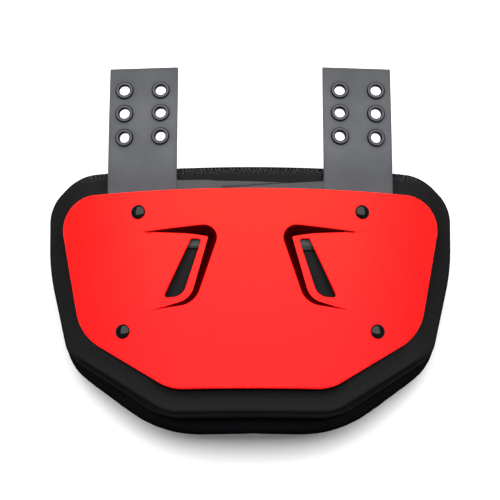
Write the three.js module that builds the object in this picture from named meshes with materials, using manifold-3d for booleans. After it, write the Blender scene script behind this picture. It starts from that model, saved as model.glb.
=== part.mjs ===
// A football back plate: a curved plastic shell riveted over a two-layer foam pad, hung by two straps.
// Every sheet is drawn flat in plan (x across the back, y up the back, z out from the foam's front face),
// cut and joined while flat, and then curled about y to the curve of the wearer's back. Millimetres.
import * as THREE from "three";
import { mergeVertices } from "three/addons/utils/BufferGeometryUtils.js";
import Module from "manifold-3d";

const wasm = await Module();
wasm.setup();

// Curl of the whole assembly, and the facets that follow it
const CURL_RADIUS = 375; // to the foam's front face
const CURL_REACH = 175; // half-width of the plan that is curled
const CURL_FACETS = 14; // flat facets across it
const CHORD_SAG = 0.3; // how far a chord may stray from a rounded corner
const GAP = 0.3; // between pieces that touch on the real object

// Shell: the hard plate
const SHELL_BACK = 6;
const SHELL_FRONT = 9;
const SHELL_CORNERS = [
  { x: 56.5, y: -103.1, radius: 34 },
  { x: 124.5, y: -61, radius: 42 },
  { x: 147, y: 46.2, radius: 25 },
];
const SHELL_EDGE = [
  { z: SHELL_BACK, inset: 0 },
  { z: SHELL_FRONT - 0.8, inset: 0 },
  { z: SHELL_FRONT, inset: 1.2 },
];

// Vents: scoops that are flush along their outer side and sink towards the middle, each with a slot
const VENT_CORNERS = [
  { x: 69, y: -45, radius: 1 },
  { x: 76, y: 14.6, radius: 1 },
  { x: 19.5, y: 19.5, radius: 10 },
  { x: 39.2, y: -41.2, radius: 16 },
];
const VENT_WALL_ANGLE = THREE.MathUtils.degToRad(40);
const VENT_FLOOR_ANGLE = THREE.MathUtils.degToRad(7);
const VENT_WALL = 2;
const VENT_FLOOR = 1.6;
const VENT_REACH = 8; // deeper than the floor ever lies
const SLOT_CORNERS = [
  { x: 62.6, y: -36, radius: 2 },
  { x: 43.2, y: 8.8, radius: 1.5 },
  { x: 35.4, y: 8.8, radius: 2 },
  { x: 48.6, y: -35, radius: 10 },
];

// Front foam: a moulded layer with a rolled edge, a thin lip, and a raised platform under the shell
const FOAM_BACK = -12;
const FOAM_ROLL = 5;
const FOAM_ROLL_STEPS = 3;
const FOAM_LIP = { reach: 2, thickness: 1.6 };
const FOAM_CORNERS = [
  { x: 61.5, y: -121, radius: 48 },
  { x: 137.6, y: -72.5, radius: 20 },
  { x: 157, y: -8, radius: 150 },
  { x: 157, y: 65.3, radius: 36 },
];
const PLATFORM_EDGE = [
  { z: -1, inset: -5.5 },
  { z: SHELL_BACK - GAP, inset: 2.5 },
];
const VENT_RELIEF = 4; // the platform stands this far back from each vent

// Back pad: a mesh-covered cushion behind the foam, thicker towards the waist, bulging past the lip
const PAD_FRONT = FOAM_BACK - GAP;
const PAD_BACK_TOP = -36;
const PAD_BACK_BOTTOM = -44.5;
const PAD_CORNERS = [
  { x: 70, y: -131.5, radius: 87 },
  { x: 146.5, y: -79.4, radius: 42 },
  { x: 167.5, y: -9.6, radius: 160 },
  { x: 167.5, y: 70, radius: 52 },
];
const PAD_ROUND = 10; // how far the bulge draws in at its front and back rims
const PAD_ROUND_STEPS = 6;
const PAD_REST_TRIM = 2; // flattened where its sides meet a surface
const PAD_TOP = PAD_CORNERS.at(-1).y;
const PAD_BOTTOM = PAD_CORNERS[0].y;

// Straps: each a leg with eyelets and an arm that crosses behind the shell to overlap its twin
const STRAP_THICK = 1.5;
const STRAP_WIDTH = 51.6;
const STRAP_OUTER = 107; // x of the leg's outer edge
const STRAP_TOP = 144.3;
const STRAP_RAKE = 1.8; // the leg's outer edge is this much shorter
const STRAP_FLARE = 2; // the leg widens by this much down to its foot
const STRAP_FOOT = 3;
const STRAP_CORNER = 0.8;
const STRAP_CENTRE = 81.4; // x of the line midway between the columns of eyelets
const FREE_START = 48; // above this y the leg leaves the shell
const FREE_RISE = 12; // how far the free leg would stand out if it went on as it starts
const FREE_BOW = 7; // how far it bows back from that at its top
const LEVEL_UNDER_SHELL = SHELL_BACK - GAP - STRAP_THICK;
const LEVEL_BELOW_VENTS = GAP;
const DIP = { from: 24, to: 17 }; // y over which a strap dips to pass below the vents
const TUCK = { from: -31, to: -23 }; // x over which the left arm drops below the right one
const FORM_STEPS = 3;
const FREE_ROWS = [48, 63, 79.1, 97.7, 116.1, 134.1]; // facets of the free leg, one for each row of eyelets
const ARM_ROOT = 84;
const STRAPS = [
  { name: "left", side: -1, armTop: 54.8, armSlope: 2.1, armEnd: 31, tucked: true },
  { name: "right", side: 1, armTop: 54.3, armSlope: 4.5, armEnd: -20, tucked: false },
];

// Eyelets and rivets
const EYELET = { bore: 3.9, tube: 4.6, flange: 6.8, rise: 1.2, lift: 0.5, sides: 14 };
const EYELET_HOLE = EYELET.tube + GAP;
const EYELET_COLUMNS = [-13.7, 13.7]; // from the strap's centre line
const EYELET_ROWS = [
  { y: 125.1, lean: 0.5 }, // lean: how far the row lies outwards of the centre line
  { y: 107, lean: 0 },
  { y: 88.4, lean: -0.5 },
];
const RIVET = { head: 5.4, dome: 2.3, shank: 2.2, washer: 5, washerThick: 1.2, sides: 14, domeSteps: 4 };
const RIVET_HOLE = RIVET.shank + GAP;
const RIVETS = [
  { name: "top", x: 81.6, y: 29.7 },
  { name: "bottom", x: 91.2, y: -60 },
];
const SIDES = [
  { name: "left", side: -1 },
  { name: "right", side: 1 },
];

const MATERIALS = {
  shell: { color: 0xfb3b35, roughness: 0.38, metalness: 0 },
  foam: { color: 0x262626, roughness: 0.85, metalness: 0 },
  mesh: { color: 0x151517, roughness: 0.95, metalness: 0 },
  strap: { color: 0x6a6b70, roughness: 0.6, metalness: 0 },
  eyelet: { color: 0x4a4b4e, roughness: 0.4, metalness: 0.8 },
  rivet: { color: 0x222223, roughness: 0.35, metalness: 0 },
};

// Outlines in plan

const mirrored = (half) => [...half, ...half.toReversed().map((c) => ({ ...c, x: -c.x }))];

const onSide = (corners, side) =>
  side > 0 ? corners : corners.toReversed().map((c) => ({ ...c, x: -c.x }));

const rectangle = (halfWidth, low, high) =>
  [
    [halfWidth, low],
    [halfWidth, high],
    [-halfWidth, high],
    [-halfWidth, low],
  ].map(([x, y]) => ({ x, y, radius: 1 }));

// The points of a convex counter-clockwise outline with rounded corners, moved inwards by inset.
function outlinePoints(corners, inset) {
  const smallest = 0.4;
  return corners.flatMap((corner, i) => {
    const before = corners.at(i - 1);
    const after = corners[(i + 1) % corners.length];
    const into = new THREE.Vector2(corner.x - before.x, corner.y - before.y).normalize();
    const out = new THREE.Vector2(after.x - corner.x, after.y - corner.y).normalize();
    const turn = Math.atan2(into.cross(out), into.dot(out));
    const inwards = new THREE.Vector2(-into.y - out.y, into.x + out.x).normalize();
    const radius = Math.max(corner.radius - inset, smallest);
    const centre = inwards.multiplyScalar((inset + radius) / Math.cos(turn / 2)).add(corner);
    const start = Math.atan2(-into.x, into.y);
    const chords = Math.ceil(turn * Math.sqrt(corner.radius / (8 * CHORD_SAG)));
    return stationsBetween(start, start + turn, chords).map(
      (angle) => new THREE.Vector2(Math.cos(angle), Math.sin(angle)).multiplyScalar(radius).add(centre),
    );
  });
}

// Faces are convex loops of points, counter-clockwise from outside

// The faces through rings of equal length, the lowest first, each ring counter-clockwise from above.
function loft(rings) {
  const walls = rings.slice(1).flatMap((upper, k) =>
    upper.map((_, i) => {
      const j = (i + 1) % upper.length;
      return [rings[k][i], rings[k][j], upper[j], upper[i]];
    }),
  );
  return [rings[0].toReversed(), ...walls, rings.at(-1)];
}

// An outline stacked through an edge profile of heights and insets.
function moulded(corners, edge) {
  return loft(
    edge.map(({ z, inset }) => outlinePoints(corners, inset).map((p) => new THREE.Vector3(p.x, p.y, z))),
  );
}

const slab = (corners, low, high, inset = 0) =>
  moulded(corners, [
    { z: low, inset },
    { z: high, inset },
  ]);

function geometryOf(faces) {
  const corners = faces.flatMap((loop) => loop.slice(2).flatMap((p, i) => [loop[0], loop[i + 1], p]));
  const geometry = new THREE.BufferGeometry().setFromPoints(corners);
  geometry.computeVertexNormals();
  return geometry;
}

function solidOf(geometry) {
  const bare = new THREE.BufferGeometry();
  bare.setAttribute("position", geometry.getAttribute("position"));
  bare.setIndex(geometry.getIndex());
  const merged = mergeVertices(bare, 1e-4);
  return new wasm.Manifold(
    new wasm.Mesh({
      numProp: 3,
      vertProperties: merged.getAttribute("position").array,
      triVerts: new Uint32Array(merged.getIndex().array),
    }),
  );
}

function facesOf(solid) {
  const { vertProperties, triVerts } = solid.getMesh();
  const point = (i) => new THREE.Vector3().fromArray(vertProperties, 3 * i);
  const faces = [];
  for (let i = 0; i < triVerts.length; i += 3) {
    faces.push([point(triVerts[i]), point(triVerts[i + 1]), point(triVerts[i + 2])]);
  }
  return faces;
}

// Bending

function ramp(from, to, value) {
  const t = THREE.MathUtils.clamp((value - from) / (to - from), 0, 1);
  return t * t * (3 - 2 * t);
}

function stationsBetween(low, high, count) {
  return Array.from({ length: count + 1 }, (_, i) => low + ((high - low) * i) / count);
}

// A face cut in two by the plane axis = station.
function split(loop, axis, station) {
  const snap = 1e-3;
  const side = loop.map((p) => {
    const away = p[axis] - station;
    return Math.abs(away) < snap ? 0 : away;
  });
  if (side.every((s) => s >= 0) || side.every((s) => s <= 0)) return [loop];
  const [below, above] = [[], []];
  loop.forEach((p, i) => {
    const j = (i + 1) % loop.length;
    if (side[i] <= 0) below.push(p);
    if (side[i] >= 0) above.push(p);
    if (side[i] * side[j] < 0) {
      const [low, high] = side[i] < 0 ? [i, j] : [j, i];
      const share = side[low] / (side[low] - side[high]);
      const cut = loop[low].clone().lerp(loop[high], share);
      below.push(cut);
      above.push(cut);
    }
  });
  return [below, above];
}

// Faces split at stations along an axis, so that a bend can follow its curve.
const splitAt = (faces, axis, stations) =>
  stations.reduce((kept, station) => kept.flatMap((loop) => split(loop, axis, station)), faces);

const CURL_STATIONS = stationsBetween(-CURL_REACH, CURL_REACH, CURL_FACETS);

// Where a point of the plan lies once the assembly is curled, facet by facet.
function curl({ x, y, z }) {
  const facet = ((x + CURL_REACH) / (2 * CURL_REACH)) * CURL_FACETS;
  const i = THREE.MathUtils.clamp(Math.floor(facet), 0, CURL_FACETS - 1);
  const [from, to] = CURL_STATIONS.slice(i, i + 2).map((station) => {
    const turn = station / CURL_RADIUS;
    const reach = CURL_RADIUS + z;
    return new THREE.Vector3(reach * Math.sin(turn), y, reach * Math.cos(turn) - CURL_RADIUS);
  });
  return from.lerp(to, facet - i);
}

// A solid from faces drawn flat and then posed, by default with the curl of the assembly.
function posed(faces, pose = curl) {
  const faceted = splitAt(faces, "x", CURL_STATIONS);
  return solidOf(geometryOf(faceted.map((loop) => loop.map(pose))));
}

// Position and turn of a small rigid piece that sits at a point of a posed sheet.
function seatOn(pose, x, y, z) {
  const step = 1;
  const at = (dx, dy) => pose(new THREE.Vector3(x + dx, y + dy, z));
  const across = at(step, 0).sub(at(-step, 0)).normalize();
  const up = at(0, step).sub(at(0, -step)).normalize();
  const out = across.clone().cross(up).normalize();
  return new THREE.Matrix4().makeBasis(across, out.clone().cross(across), out).setPosition(at(0, 0));
}

// A round hole through everything between two heights over a seat.
function bore(seat, low, high, radius, sides) {
  const cylinder = new THREE.CylinderGeometry(radius, radius, high - low, sides);
  cylinder.rotateX(Math.PI / 2).translate(0, 0, (low + high) / 2);
  return solidOf(cylinder.applyMatrix4(seat));
}

const rivetSeats = SIDES.flatMap(({ name: sideName, side }) =>
  RIVETS.map(({ name, x, y }) => ({
    name: `rivet_${name}_${sideName}`,
    seat: seatOn(curl, side * x, y, 0),
  })),
);

// A solid with a hole for every rivet shank.
const riveted = (solid) =>
  rivetSeats.reduce(
    (cut, { seat }) => cut.subtract(bore(seat, 2 * FOAM_BACK, 2 * SHELL_FRONT, RIVET_HOLE, RIVET.sides)),
    solid,
  );

// Shell

// A vent's tapering walls, widened all round by `widen`.
function ventWalls(side, low, high, widen) {
  const insetAt = (z) => (SHELL_FRONT - z) / Math.tan(VENT_WALL_ANGLE) - widen;
  const edge = [low, high].map((z) => ({ z, inset: insetAt(z) }));
  return solidOf(geometryOf(moulded(onSide(VENT_CORNERS, side), edge)));
}

// All space above a vent's sloping floor, lowered by `drop`.
function aboveVentFloor(side, drop) {
  const size = 400;
  const [foot, head] = VENT_CORNERS.map((c) => new THREE.Vector3(side * c.x, c.y, SHELL_FRONT - drop));
  const hinge = head.clone().sub(foot).normalize();
  const place = new THREE.Matrix4()
    .makeRotationAxis(hinge, -side * VENT_FLOOR_ANGLE)
    .setPosition(foot);
  const space = new THREE.BoxGeometry(size, size, size).translate(0, 0, size / 2);
  return solidOf(space.applyMatrix4(place));
}

function shellGeometry() {
  let shell = posed(moulded(mirrored(SHELL_CORNERS), SHELL_EDGE));
  const low = SHELL_FRONT - VENT_REACH;
  const high = SHELL_FRONT + 1;
  const wallRun = VENT_WALL / Math.sin(VENT_WALL_ANGLE);
  for (const { side } of SIDES) {
    const dish = ventWalls(side, low, SHELL_BACK + 0.5, wallRun).intersect(
      aboveVentFloor(side, VENT_FLOOR),
    );
    const scoop = ventWalls(side, low, high, 0).intersect(aboveVentFloor(side, 0));
    const slot = slab(onSide(SLOT_CORNERS, side), low, high);
    shell = shell.add(posed(facesOf(dish))).subtract(posed(facesOf(scoop))).subtract(posed(slot));
  }
  return geometryOf(facesOf(riveted(shell)));
}

// Straps

// The leg and the arm of a strap in plan.
function strapOutlines({ side, armTop, armSlope, armEnd }) {
  const inner = STRAP_OUTER - STRAP_WIDTH;
  const slope = Math.tan(THREE.MathUtils.degToRad(armSlope));
  const armEdge = (x) => armTop + slope * (x - inner);
  const corner = (x, y) => ({ x, y, radius: STRAP_CORNER });
  const end = side * armEnd;
  const leg = [
    corner(STRAP_OUTER, STRAP_FOOT),
    corner(STRAP_OUTER, STRAP_TOP - STRAP_RAKE),
    corner(inner, STRAP_TOP),
    corner(inner - STRAP_FLARE, STRAP_FOOT),
  ];
  const arm = [
    corner(ARM_ROOT, armEdge(ARM_ROOT) - STRAP_WIDTH),
    corner(ARM_ROOT, armEdge(ARM_ROOT)),
    corner(end, armEdge(end)),
    corner(end, armEdge(end) - STRAP_WIDTH),
  ];
  return [onSide(leg, side), onSide(arm, side)];
}

// Height of a strap's underside above the foam's face.
function strapLevel(strap, { x, y }) {
  const dip = (LEVEL_UNDER_SHELL - LEVEL_BELOW_VENTS) * ramp(DIP.from, DIP.to, y);
  const tuck = strap.tucked ? (STRAP_THICK + GAP) * ramp(TUCK.from, TUCK.to, x) : 0;
  return LEVEL_UNDER_SHELL - dip - tuck;
}

// Where a point of a strap lies: formed and curled under the shell, straightening as it rises beyond it.
function strapPose(strap) {
  const centreLine = strap.side * STRAP_CENTRE;
  return (p) => {
    const z = p.z + strapLevel(strap, p);
    const where = curl({ ...p, z });
    const centre = curl({ x: centreLine, y: p.y, z: 0 });
    const straight = new THREE.Vector3(centre.x + p.x - centreLine, p.y, centre.z + z);
    const free = THREE.MathUtils.clamp((p.y - FREE_START) / (STRAP_TOP - FREE_START), 0, 1);
    where.lerp(straight, ramp(0, 1, free));
    where.z += free * (FREE_RISE - FREE_BOW * free);
    return where;
  };
}

// The channel that a strap needs in the foam: shallow under the shell's top, deeper below the vents.
function strapChannel(strap) {
  const top = 2 * SHELL_FRONT;
  const tuck = strap.tucked ? STRAP_THICK + GAP : 0;
  const lower = posed(slab(rectangle(CURL_REACH, -CURL_REACH, DIP.from + GAP), -SHELL_FRONT, top));
  const [leg, arm] = strapOutlines(strap).map((outline, i) => {
    const cut = (level) => posed(slab(outline, level - GAP - i * tuck, top, -GAP));
    return cut(LEVEL_UNDER_SHELL).add(cut(LEVEL_BELOW_VENTS).intersect(lower));
  });
  return leg.add(arm);
}

const eyeletSeats = (strap) =>
  EYELET_ROWS.flatMap(({ y, lean }) => {
    const middle = strap.side * (STRAP_CENTRE + lean);
    return EYELET_COLUMNS.map((x) => seatOn(strapPose(strap), middle + x, y, STRAP_THICK / 2));
  });

function strapGeometry(strap) {
  const rows = [...stationsBetween(DIP.to, DIP.from, FORM_STEPS), ...FREE_ROWS];
  const columns = strap.tucked ? stationsBetween(TUCK.from, TUCK.to, FORM_STEPS) : [];
  const [leg, arm] = strapOutlines(strap).map((outline) => {
    const faces = slab(outline, 0, STRAP_THICK);
    return posed(splitAt(splitAt(faces, "y", rows), "x", columns), strapPose(strap));
  });
  const holed = eyeletSeats(strap).reduce(
    (cut, seat) => cut.subtract(bore(seat, -SHELL_FRONT, SHELL_FRONT, EYELET_HOLE, EYELET.sides)),
    leg.add(arm),
  );
  return geometryOf(facesOf(riveted(holed)));
}

// Foam and pad

function foamGeometry() {
  const lipTop = FOAM_BACK + FOAM_LIP.thickness;
  const roll = stationsBetween(0, Math.PI / 2, FOAM_ROLL_STEPS).map((turn) => ({
    z: -FOAM_ROLL + FOAM_ROLL * Math.sin(turn),
    inset: FOAM_ROLL * (1 - Math.cos(turn)),
  }));
  const edge = [
    { z: FOAM_BACK, inset: -FOAM_LIP.reach },
    { z: lipTop, inset: -FOAM_LIP.reach },
    { z: lipTop, inset: 0 },
    ...roll,
  ];
  const platform = posed(moulded(mirrored(SHELL_CORNERS), PLATFORM_EDGE));
  let foam = posed(moulded(mirrored(FOAM_CORNERS), edge)).add(platform);
  for (const { side } of SIDES) {
    foam = foam.subtract(posed(slab(onSide(VENT_CORNERS, side), 0, 2 * SHELL_FRONT, -VENT_RELIEF)));
  }
  for (const strap of STRAPS) {
    foam = foam.subtract(strapChannel(strap));
  }
  return geometryOf(facesOf(riveted(foam)));
}

function padGeometry() {
  const half = (PAD_FRONT - PAD_BACK_TOP) / 2;
  const edge = stationsBetween(-Math.PI / 2, Math.PI / 2, PAD_ROUND_STEPS).map((turn) => ({
    z: PAD_FRONT - half + half * Math.sin(turn),
    inset: PAD_ROUND * (1 - Math.cos(turn)),
  }));
  const thicken = ({ x, y, z }) => {
    const down = (PAD_TOP - y) / (PAD_TOP - PAD_BOTTOM);
    const growth = (PAD_BACK_BOTTOM - PAD_BACK_TOP) / (PAD_BACK_TOP - PAD_FRONT);
    return curl({ x, y, z: z + (z - PAD_FRONT) * growth * down });
  };
  let pad = posed(moulded(mirrored(PAD_CORNERS), edge), thicken);
  const pocket = PAD_FRONT - RIVET.washerThick - 3 * GAP;
  for (const { seat } of rivetSeats) {
    pad = pad.subtract(bore(seat, pocket, 0, RIVET.washer + 2 * GAP, RIVET.sides));
  }
  const size = 500;
  const floor = pad.boundingBox().min[2] + PAD_REST_TRIM;
  const below = new THREE.BoxGeometry(size, size, size).translate(0, 0, floor - size / 2);
  return geometryOf(facesOf(pad.subtract(solidOf(below))));
}

// Small hardware, turned about its own axis and standing along z

function turned(profile, sides) {
  const points = profile.map(([r, z]) => new THREE.Vector2(r, z));
  return new THREE.LatheGeometry(points, sides).rotateX(Math.PI / 2);
}

function eyeletGeometry() {
  const { bore, tube, flange, rise, sides } = EYELET;
  const seat = STRAP_THICK / 2 + EYELET.lift;
  const crown = (bore + flange) / 2;
  const profile = [
    [bore, -seat - rise / 2],
    [crown, -seat - rise],
    [flange, -seat],
    [tube, -seat],
    [tube, seat],
    [flange, seat],
    [crown, seat + rise],
    [bore, seat + rise / 2],
    [bore, -seat - rise / 2],
  ];
  return turned(profile, sides);
}

function rivetGeometry() {
  const { head, dome, shank, washer, washerThick, sides } = RIVET;
  const seat = SHELL_FRONT + GAP;
  const anvil = FOAM_BACK - 2 * GAP;
  const domeRow = (turn) => [head * Math.cos(turn), seat + dome * Math.sin(turn)];
  const profile = [
    [0, anvil - washerThick],
    [washer, anvil - washerThick],
    [washer, anvil],
    [shank, anvil],
    [shank, seat],
    ...stationsBetween(0, Math.PI / 2, RIVET.domeSteps).map(domeRow),
  ];
  profile.at(-1)[0] = 0;
  return turned(profile, sides);
}

// Assembly

const materials = Object.fromEntries(
  Object.entries(MATERIALS).map(([name, look]) => [name, new THREE.MeshStandardMaterial(look)]),
);

const assembly = new THREE.Group();

function addPiece(name, geometry, material) {
  const mesh = new THREE.Mesh(geometry, materials[material]);
  mesh.name = name;
  assembly.add(mesh);
  return mesh;
}

addPiece("shell_plate", shellGeometry(), "shell");
addPiece("front_foam", foamGeometry(), "foam");
addPiece("back_pad", padGeometry(), "mesh");

for (const strap of STRAPS) {
  addPiece(`strap_${strap.name}`, strapGeometry(strap), "strap");
  eyeletSeats(strap).forEach((seat, i) => {
    const eyelet = addPiece(`eyelet_${strap.name}_${i + 1}`, eyeletGeometry(), "eyelet");
    eyelet.applyMatrix4(seat);
  });
}

for (const { name, seat } of rivetSeats) {
  addPiece(name, rivetGeometry(), "rivet").applyMatrix4(seat);
}

// The part stands on z = 0 with the origin under the middle of its box.
const box = new THREE.Box3().setFromObject(assembly);
const middle = box.getCenter(new THREE.Vector3());
assembly.position.set(-middle.x, -middle.y, -box.min.z);

const backPlate = new THREE.Group();
backPlate.add(assembly);

export default backPlate;
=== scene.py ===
"""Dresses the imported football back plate: its shell, foam, pad, straps and hardware, and their finishes.

Each sheet is drawn flat in plan (x across the back, y up the back, z out from the foam's front face, in
millimetres) and then curled about y to the curve of the wearer's back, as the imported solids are.
"""

from __future__ import annotations

import logging
import math
from collections.abc import Callable, Sequence
from dataclasses import dataclass
from enum import Enum

import bmesh
import bpy
import numpy as np
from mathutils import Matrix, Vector, kdtree
from mathutils.geometry import delaunay_2d_cdt

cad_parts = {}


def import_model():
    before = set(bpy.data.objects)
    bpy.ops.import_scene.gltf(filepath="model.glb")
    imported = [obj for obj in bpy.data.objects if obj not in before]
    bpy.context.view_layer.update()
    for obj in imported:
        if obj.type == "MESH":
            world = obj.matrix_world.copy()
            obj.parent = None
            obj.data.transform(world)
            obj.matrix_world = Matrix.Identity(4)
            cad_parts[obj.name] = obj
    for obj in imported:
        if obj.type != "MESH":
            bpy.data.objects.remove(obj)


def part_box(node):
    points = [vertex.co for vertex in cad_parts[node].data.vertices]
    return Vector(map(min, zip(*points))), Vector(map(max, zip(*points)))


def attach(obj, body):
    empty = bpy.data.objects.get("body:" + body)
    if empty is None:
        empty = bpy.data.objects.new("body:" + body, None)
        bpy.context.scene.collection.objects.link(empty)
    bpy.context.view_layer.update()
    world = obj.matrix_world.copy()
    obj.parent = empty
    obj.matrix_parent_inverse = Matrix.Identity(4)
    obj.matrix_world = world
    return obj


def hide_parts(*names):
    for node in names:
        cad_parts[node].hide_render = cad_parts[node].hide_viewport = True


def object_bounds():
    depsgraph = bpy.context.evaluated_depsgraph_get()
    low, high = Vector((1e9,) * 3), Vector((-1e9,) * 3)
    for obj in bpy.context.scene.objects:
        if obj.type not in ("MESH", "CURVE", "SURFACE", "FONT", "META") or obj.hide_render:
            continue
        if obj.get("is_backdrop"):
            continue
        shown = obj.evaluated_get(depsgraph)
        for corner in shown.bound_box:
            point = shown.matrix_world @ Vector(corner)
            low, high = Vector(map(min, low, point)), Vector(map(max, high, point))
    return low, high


LOG = logging.getLogger("back_plate")
MM = 0.001
BODY = "root"
SHARP = math.radians(50)
WELD = 1e-5
NO_LENGTH = 1e-6

Array = np.ndarray
Height = Callable[[Array], Array]
Place = Callable[[Array], Array]
Colour = tuple[float, float, float, float]
Span = tuple[float, float]


class Side(Enum):
    """The two halves of the plate; the value is the sign of x."""

    LEFT = -1
    RIGHT = 1

    @property
    def label(self) -> str:
        """The side's word in the names of pieces."""
        return self.name.lower()


class Slot(Enum):
    """The record's material slots."""

    SHELL = "shell"
    FOAM = "foam"
    MESH = "mesh"
    STRAP = "strap"
    EYELET = "eyelet"
    RIVET = "rivet"


def srgb(code: str) -> Colour:
    """The linear colour of a six-digit display colour code."""

    def linear(value: float) -> float:
        """One channel, from display to linear."""
        return value / 12.92 if value <= 0.04045 else ((value + 0.055) / 1.055) ** 2.4

    red, green, blue = (linear(int(code[i : i + 2], 16) / 255) for i in (0, 2, 4))
    return (red, green, blue, 1.0)


def ramp(low: float, high: float, value: Array) -> Array:
    """A smooth step that is 0 at low and 1 at high."""
    share = np.clip((value - low) / (high - low), 0.0, 1.0)
    return share * share * (3.0 - 2.0 * share)


@dataclass(frozen=True)
class Fade:
    """A smooth passage from nothing at one value to full strength at another."""

    start: float
    end: float
    strength: float = 1.0

    def at(self, value: Array) -> Array:
        """The strength that is reached at a value."""
        return self.strength * ramp(self.start, self.end, value)


def soft_positive(value: Array, width: float) -> Array:
    """The positive part of a value, with its corner rounded over a width."""
    return 0.5 * (value + np.sqrt(value * value + 4.0 * width * width))


def edge_drop(distance: Array, radius: float) -> Array:
    """How far a quarter-round edge lies below its face, at a distance from the rim."""
    reach = np.clip(radius - distance, 0.0, radius)
    return radius - np.sqrt(radius * radius - reach * reach)


def round_insets(radius: float, steps: int) -> list[float]:
    """The insets of the rows that follow a quarter-round edge, from its rim inwards."""
    return [radius * (1.0 - math.sin(math.pi / 2 * k / steps)) for k in range(steps, -1, -1)]


def flat_face(height: float) -> Height:
    """A face that lies at one height all over."""
    return lambda points: np.full(len(points), height)


def closed(loop: Array) -> Array:
    """A loop with its first point repeated at its end."""
    return np.vstack([loop, loop[:1]])


def line_distance(points: Array, line: Array) -> Array:
    """The distance of points in plan from a line.

    Args:
        points: Points in plan, one in a row.
        line: Points of the open line.

    Returns:
        One distance for each point.
    """
    nearest = np.full(len(points), np.inf)
    for start, along in zip(line[:-1], np.diff(line, axis=0)):
        square = float(along @ along)
        if square < NO_LENGTH**2:
            continue
        away = points - start
        share = np.clip(away @ along / square, 0.0, 1.0)
        away = away - share[:, None] * along
        nearest = np.minimum(nearest, np.hypot(away[:, 0], away[:, 1]))
    return nearest


def inside(points: Array, loop: Array) -> Array:
    """Which points lie inside a closed loop.

    Args:
        points: Points in plan, one in a row.
        loop: Points of the loop, in order.

    Returns:
        True for each point inside.
    """
    x, y = points.T
    result = np.zeros(len(points), bool)
    for (x0, y0), (x1, y1) in zip(loop, np.roll(loop, -1, axis=0)):
        if y0 == y1:
            continue
        crosses = (y0 > y) != (y1 > y)
        result ^= crosses & (x < x0 + (y - y0) * (x1 - x0) / (y1 - y0))
    return result


def signed_distance(points: Array, loop: Array) -> Array:
    """The distance of points from a loop, positive inside it."""
    return np.where(inside(points, loop), 1.0, -1.0) * line_distance(points, closed(loop))


def outside(points: Array, loops: Sequence[Array]) -> Array:
    """The points that lie inside none of some loops."""
    return points[~np.any([inside(points, loop) for loop in loops], axis=0)]


def at_height(loop: Array, height: float) -> Array:
    """Points of the plan raised to one height."""
    return np.column_stack([loop, np.full(len(loop), height)])


def resampled(line: Array, step: float) -> Array:
    """An open line with points spread evenly along it, about a step apart."""
    along = np.concatenate([[0.0], np.cumsum(np.hypot(*np.diff(line, axis=0).T))])
    places = np.linspace(0.0, along[-1], math.ceil(along[-1] / step) + 1)
    return np.column_stack([np.interp(places, along, line[:, axis]) for axis in (0, 1)])


def offset(line: Array, distance: float | Array) -> Array:
    """A line moved sideways, to the left of the way that it runs, by one distance or one at each point."""
    along = np.gradient(line, axis=0)
    along /= np.linalg.norm(along, axis=1)[:, None]
    return line + np.column_stack([-along[:, 1], along[:, 0]]) * np.reshape(distance, (-1, 1))


def lattice(loop: Array, spacing: float) -> Array:
    """Evenly spread points inside a loop, in staggered rows."""
    low, high = loop.min(axis=0), loop.max(axis=0)
    rows = np.arange(low[1], high[1], spacing * math.sqrt(0.75))
    points = [
        (x, y)
        for k, y in enumerate(rows)
        for x in np.arange(low[0] + spacing * 0.5 * (k % 2), high[0], spacing)
    ]
    points = np.array(points)
    return points[inside(points, loop)]


def thinned(points: Array, taken: Array, gap: float) -> Array:
    """The points that stand at least a gap away from all those already taken."""
    tree = kdtree.KDTree(len(taken))
    for k, (x, y) in enumerate(taken):
        tree.insert((x, y, 0.0), k)
    tree.balance()
    return np.array([p for p in points if tree.find((p[0], p[1], 0.0))[2] >= gap]).reshape(-1, 2)


@dataclass(frozen=True)
class Filling:
    """The points that fill a sheet: how far apart they lie, and the gap that they keep from its rows."""

    pitch: float
    gap: float

    def points(self, loop: Array, taken: Array) -> Array:
        """The filling points inside a loop, clear of the points already taken."""
        return thinned(lattice(loop, self.pitch), taken, self.gap)


@dataclass(frozen=True)
class Corner:
    """A corner of an outline in plan."""

    x: float
    y: float
    radius: float


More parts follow.
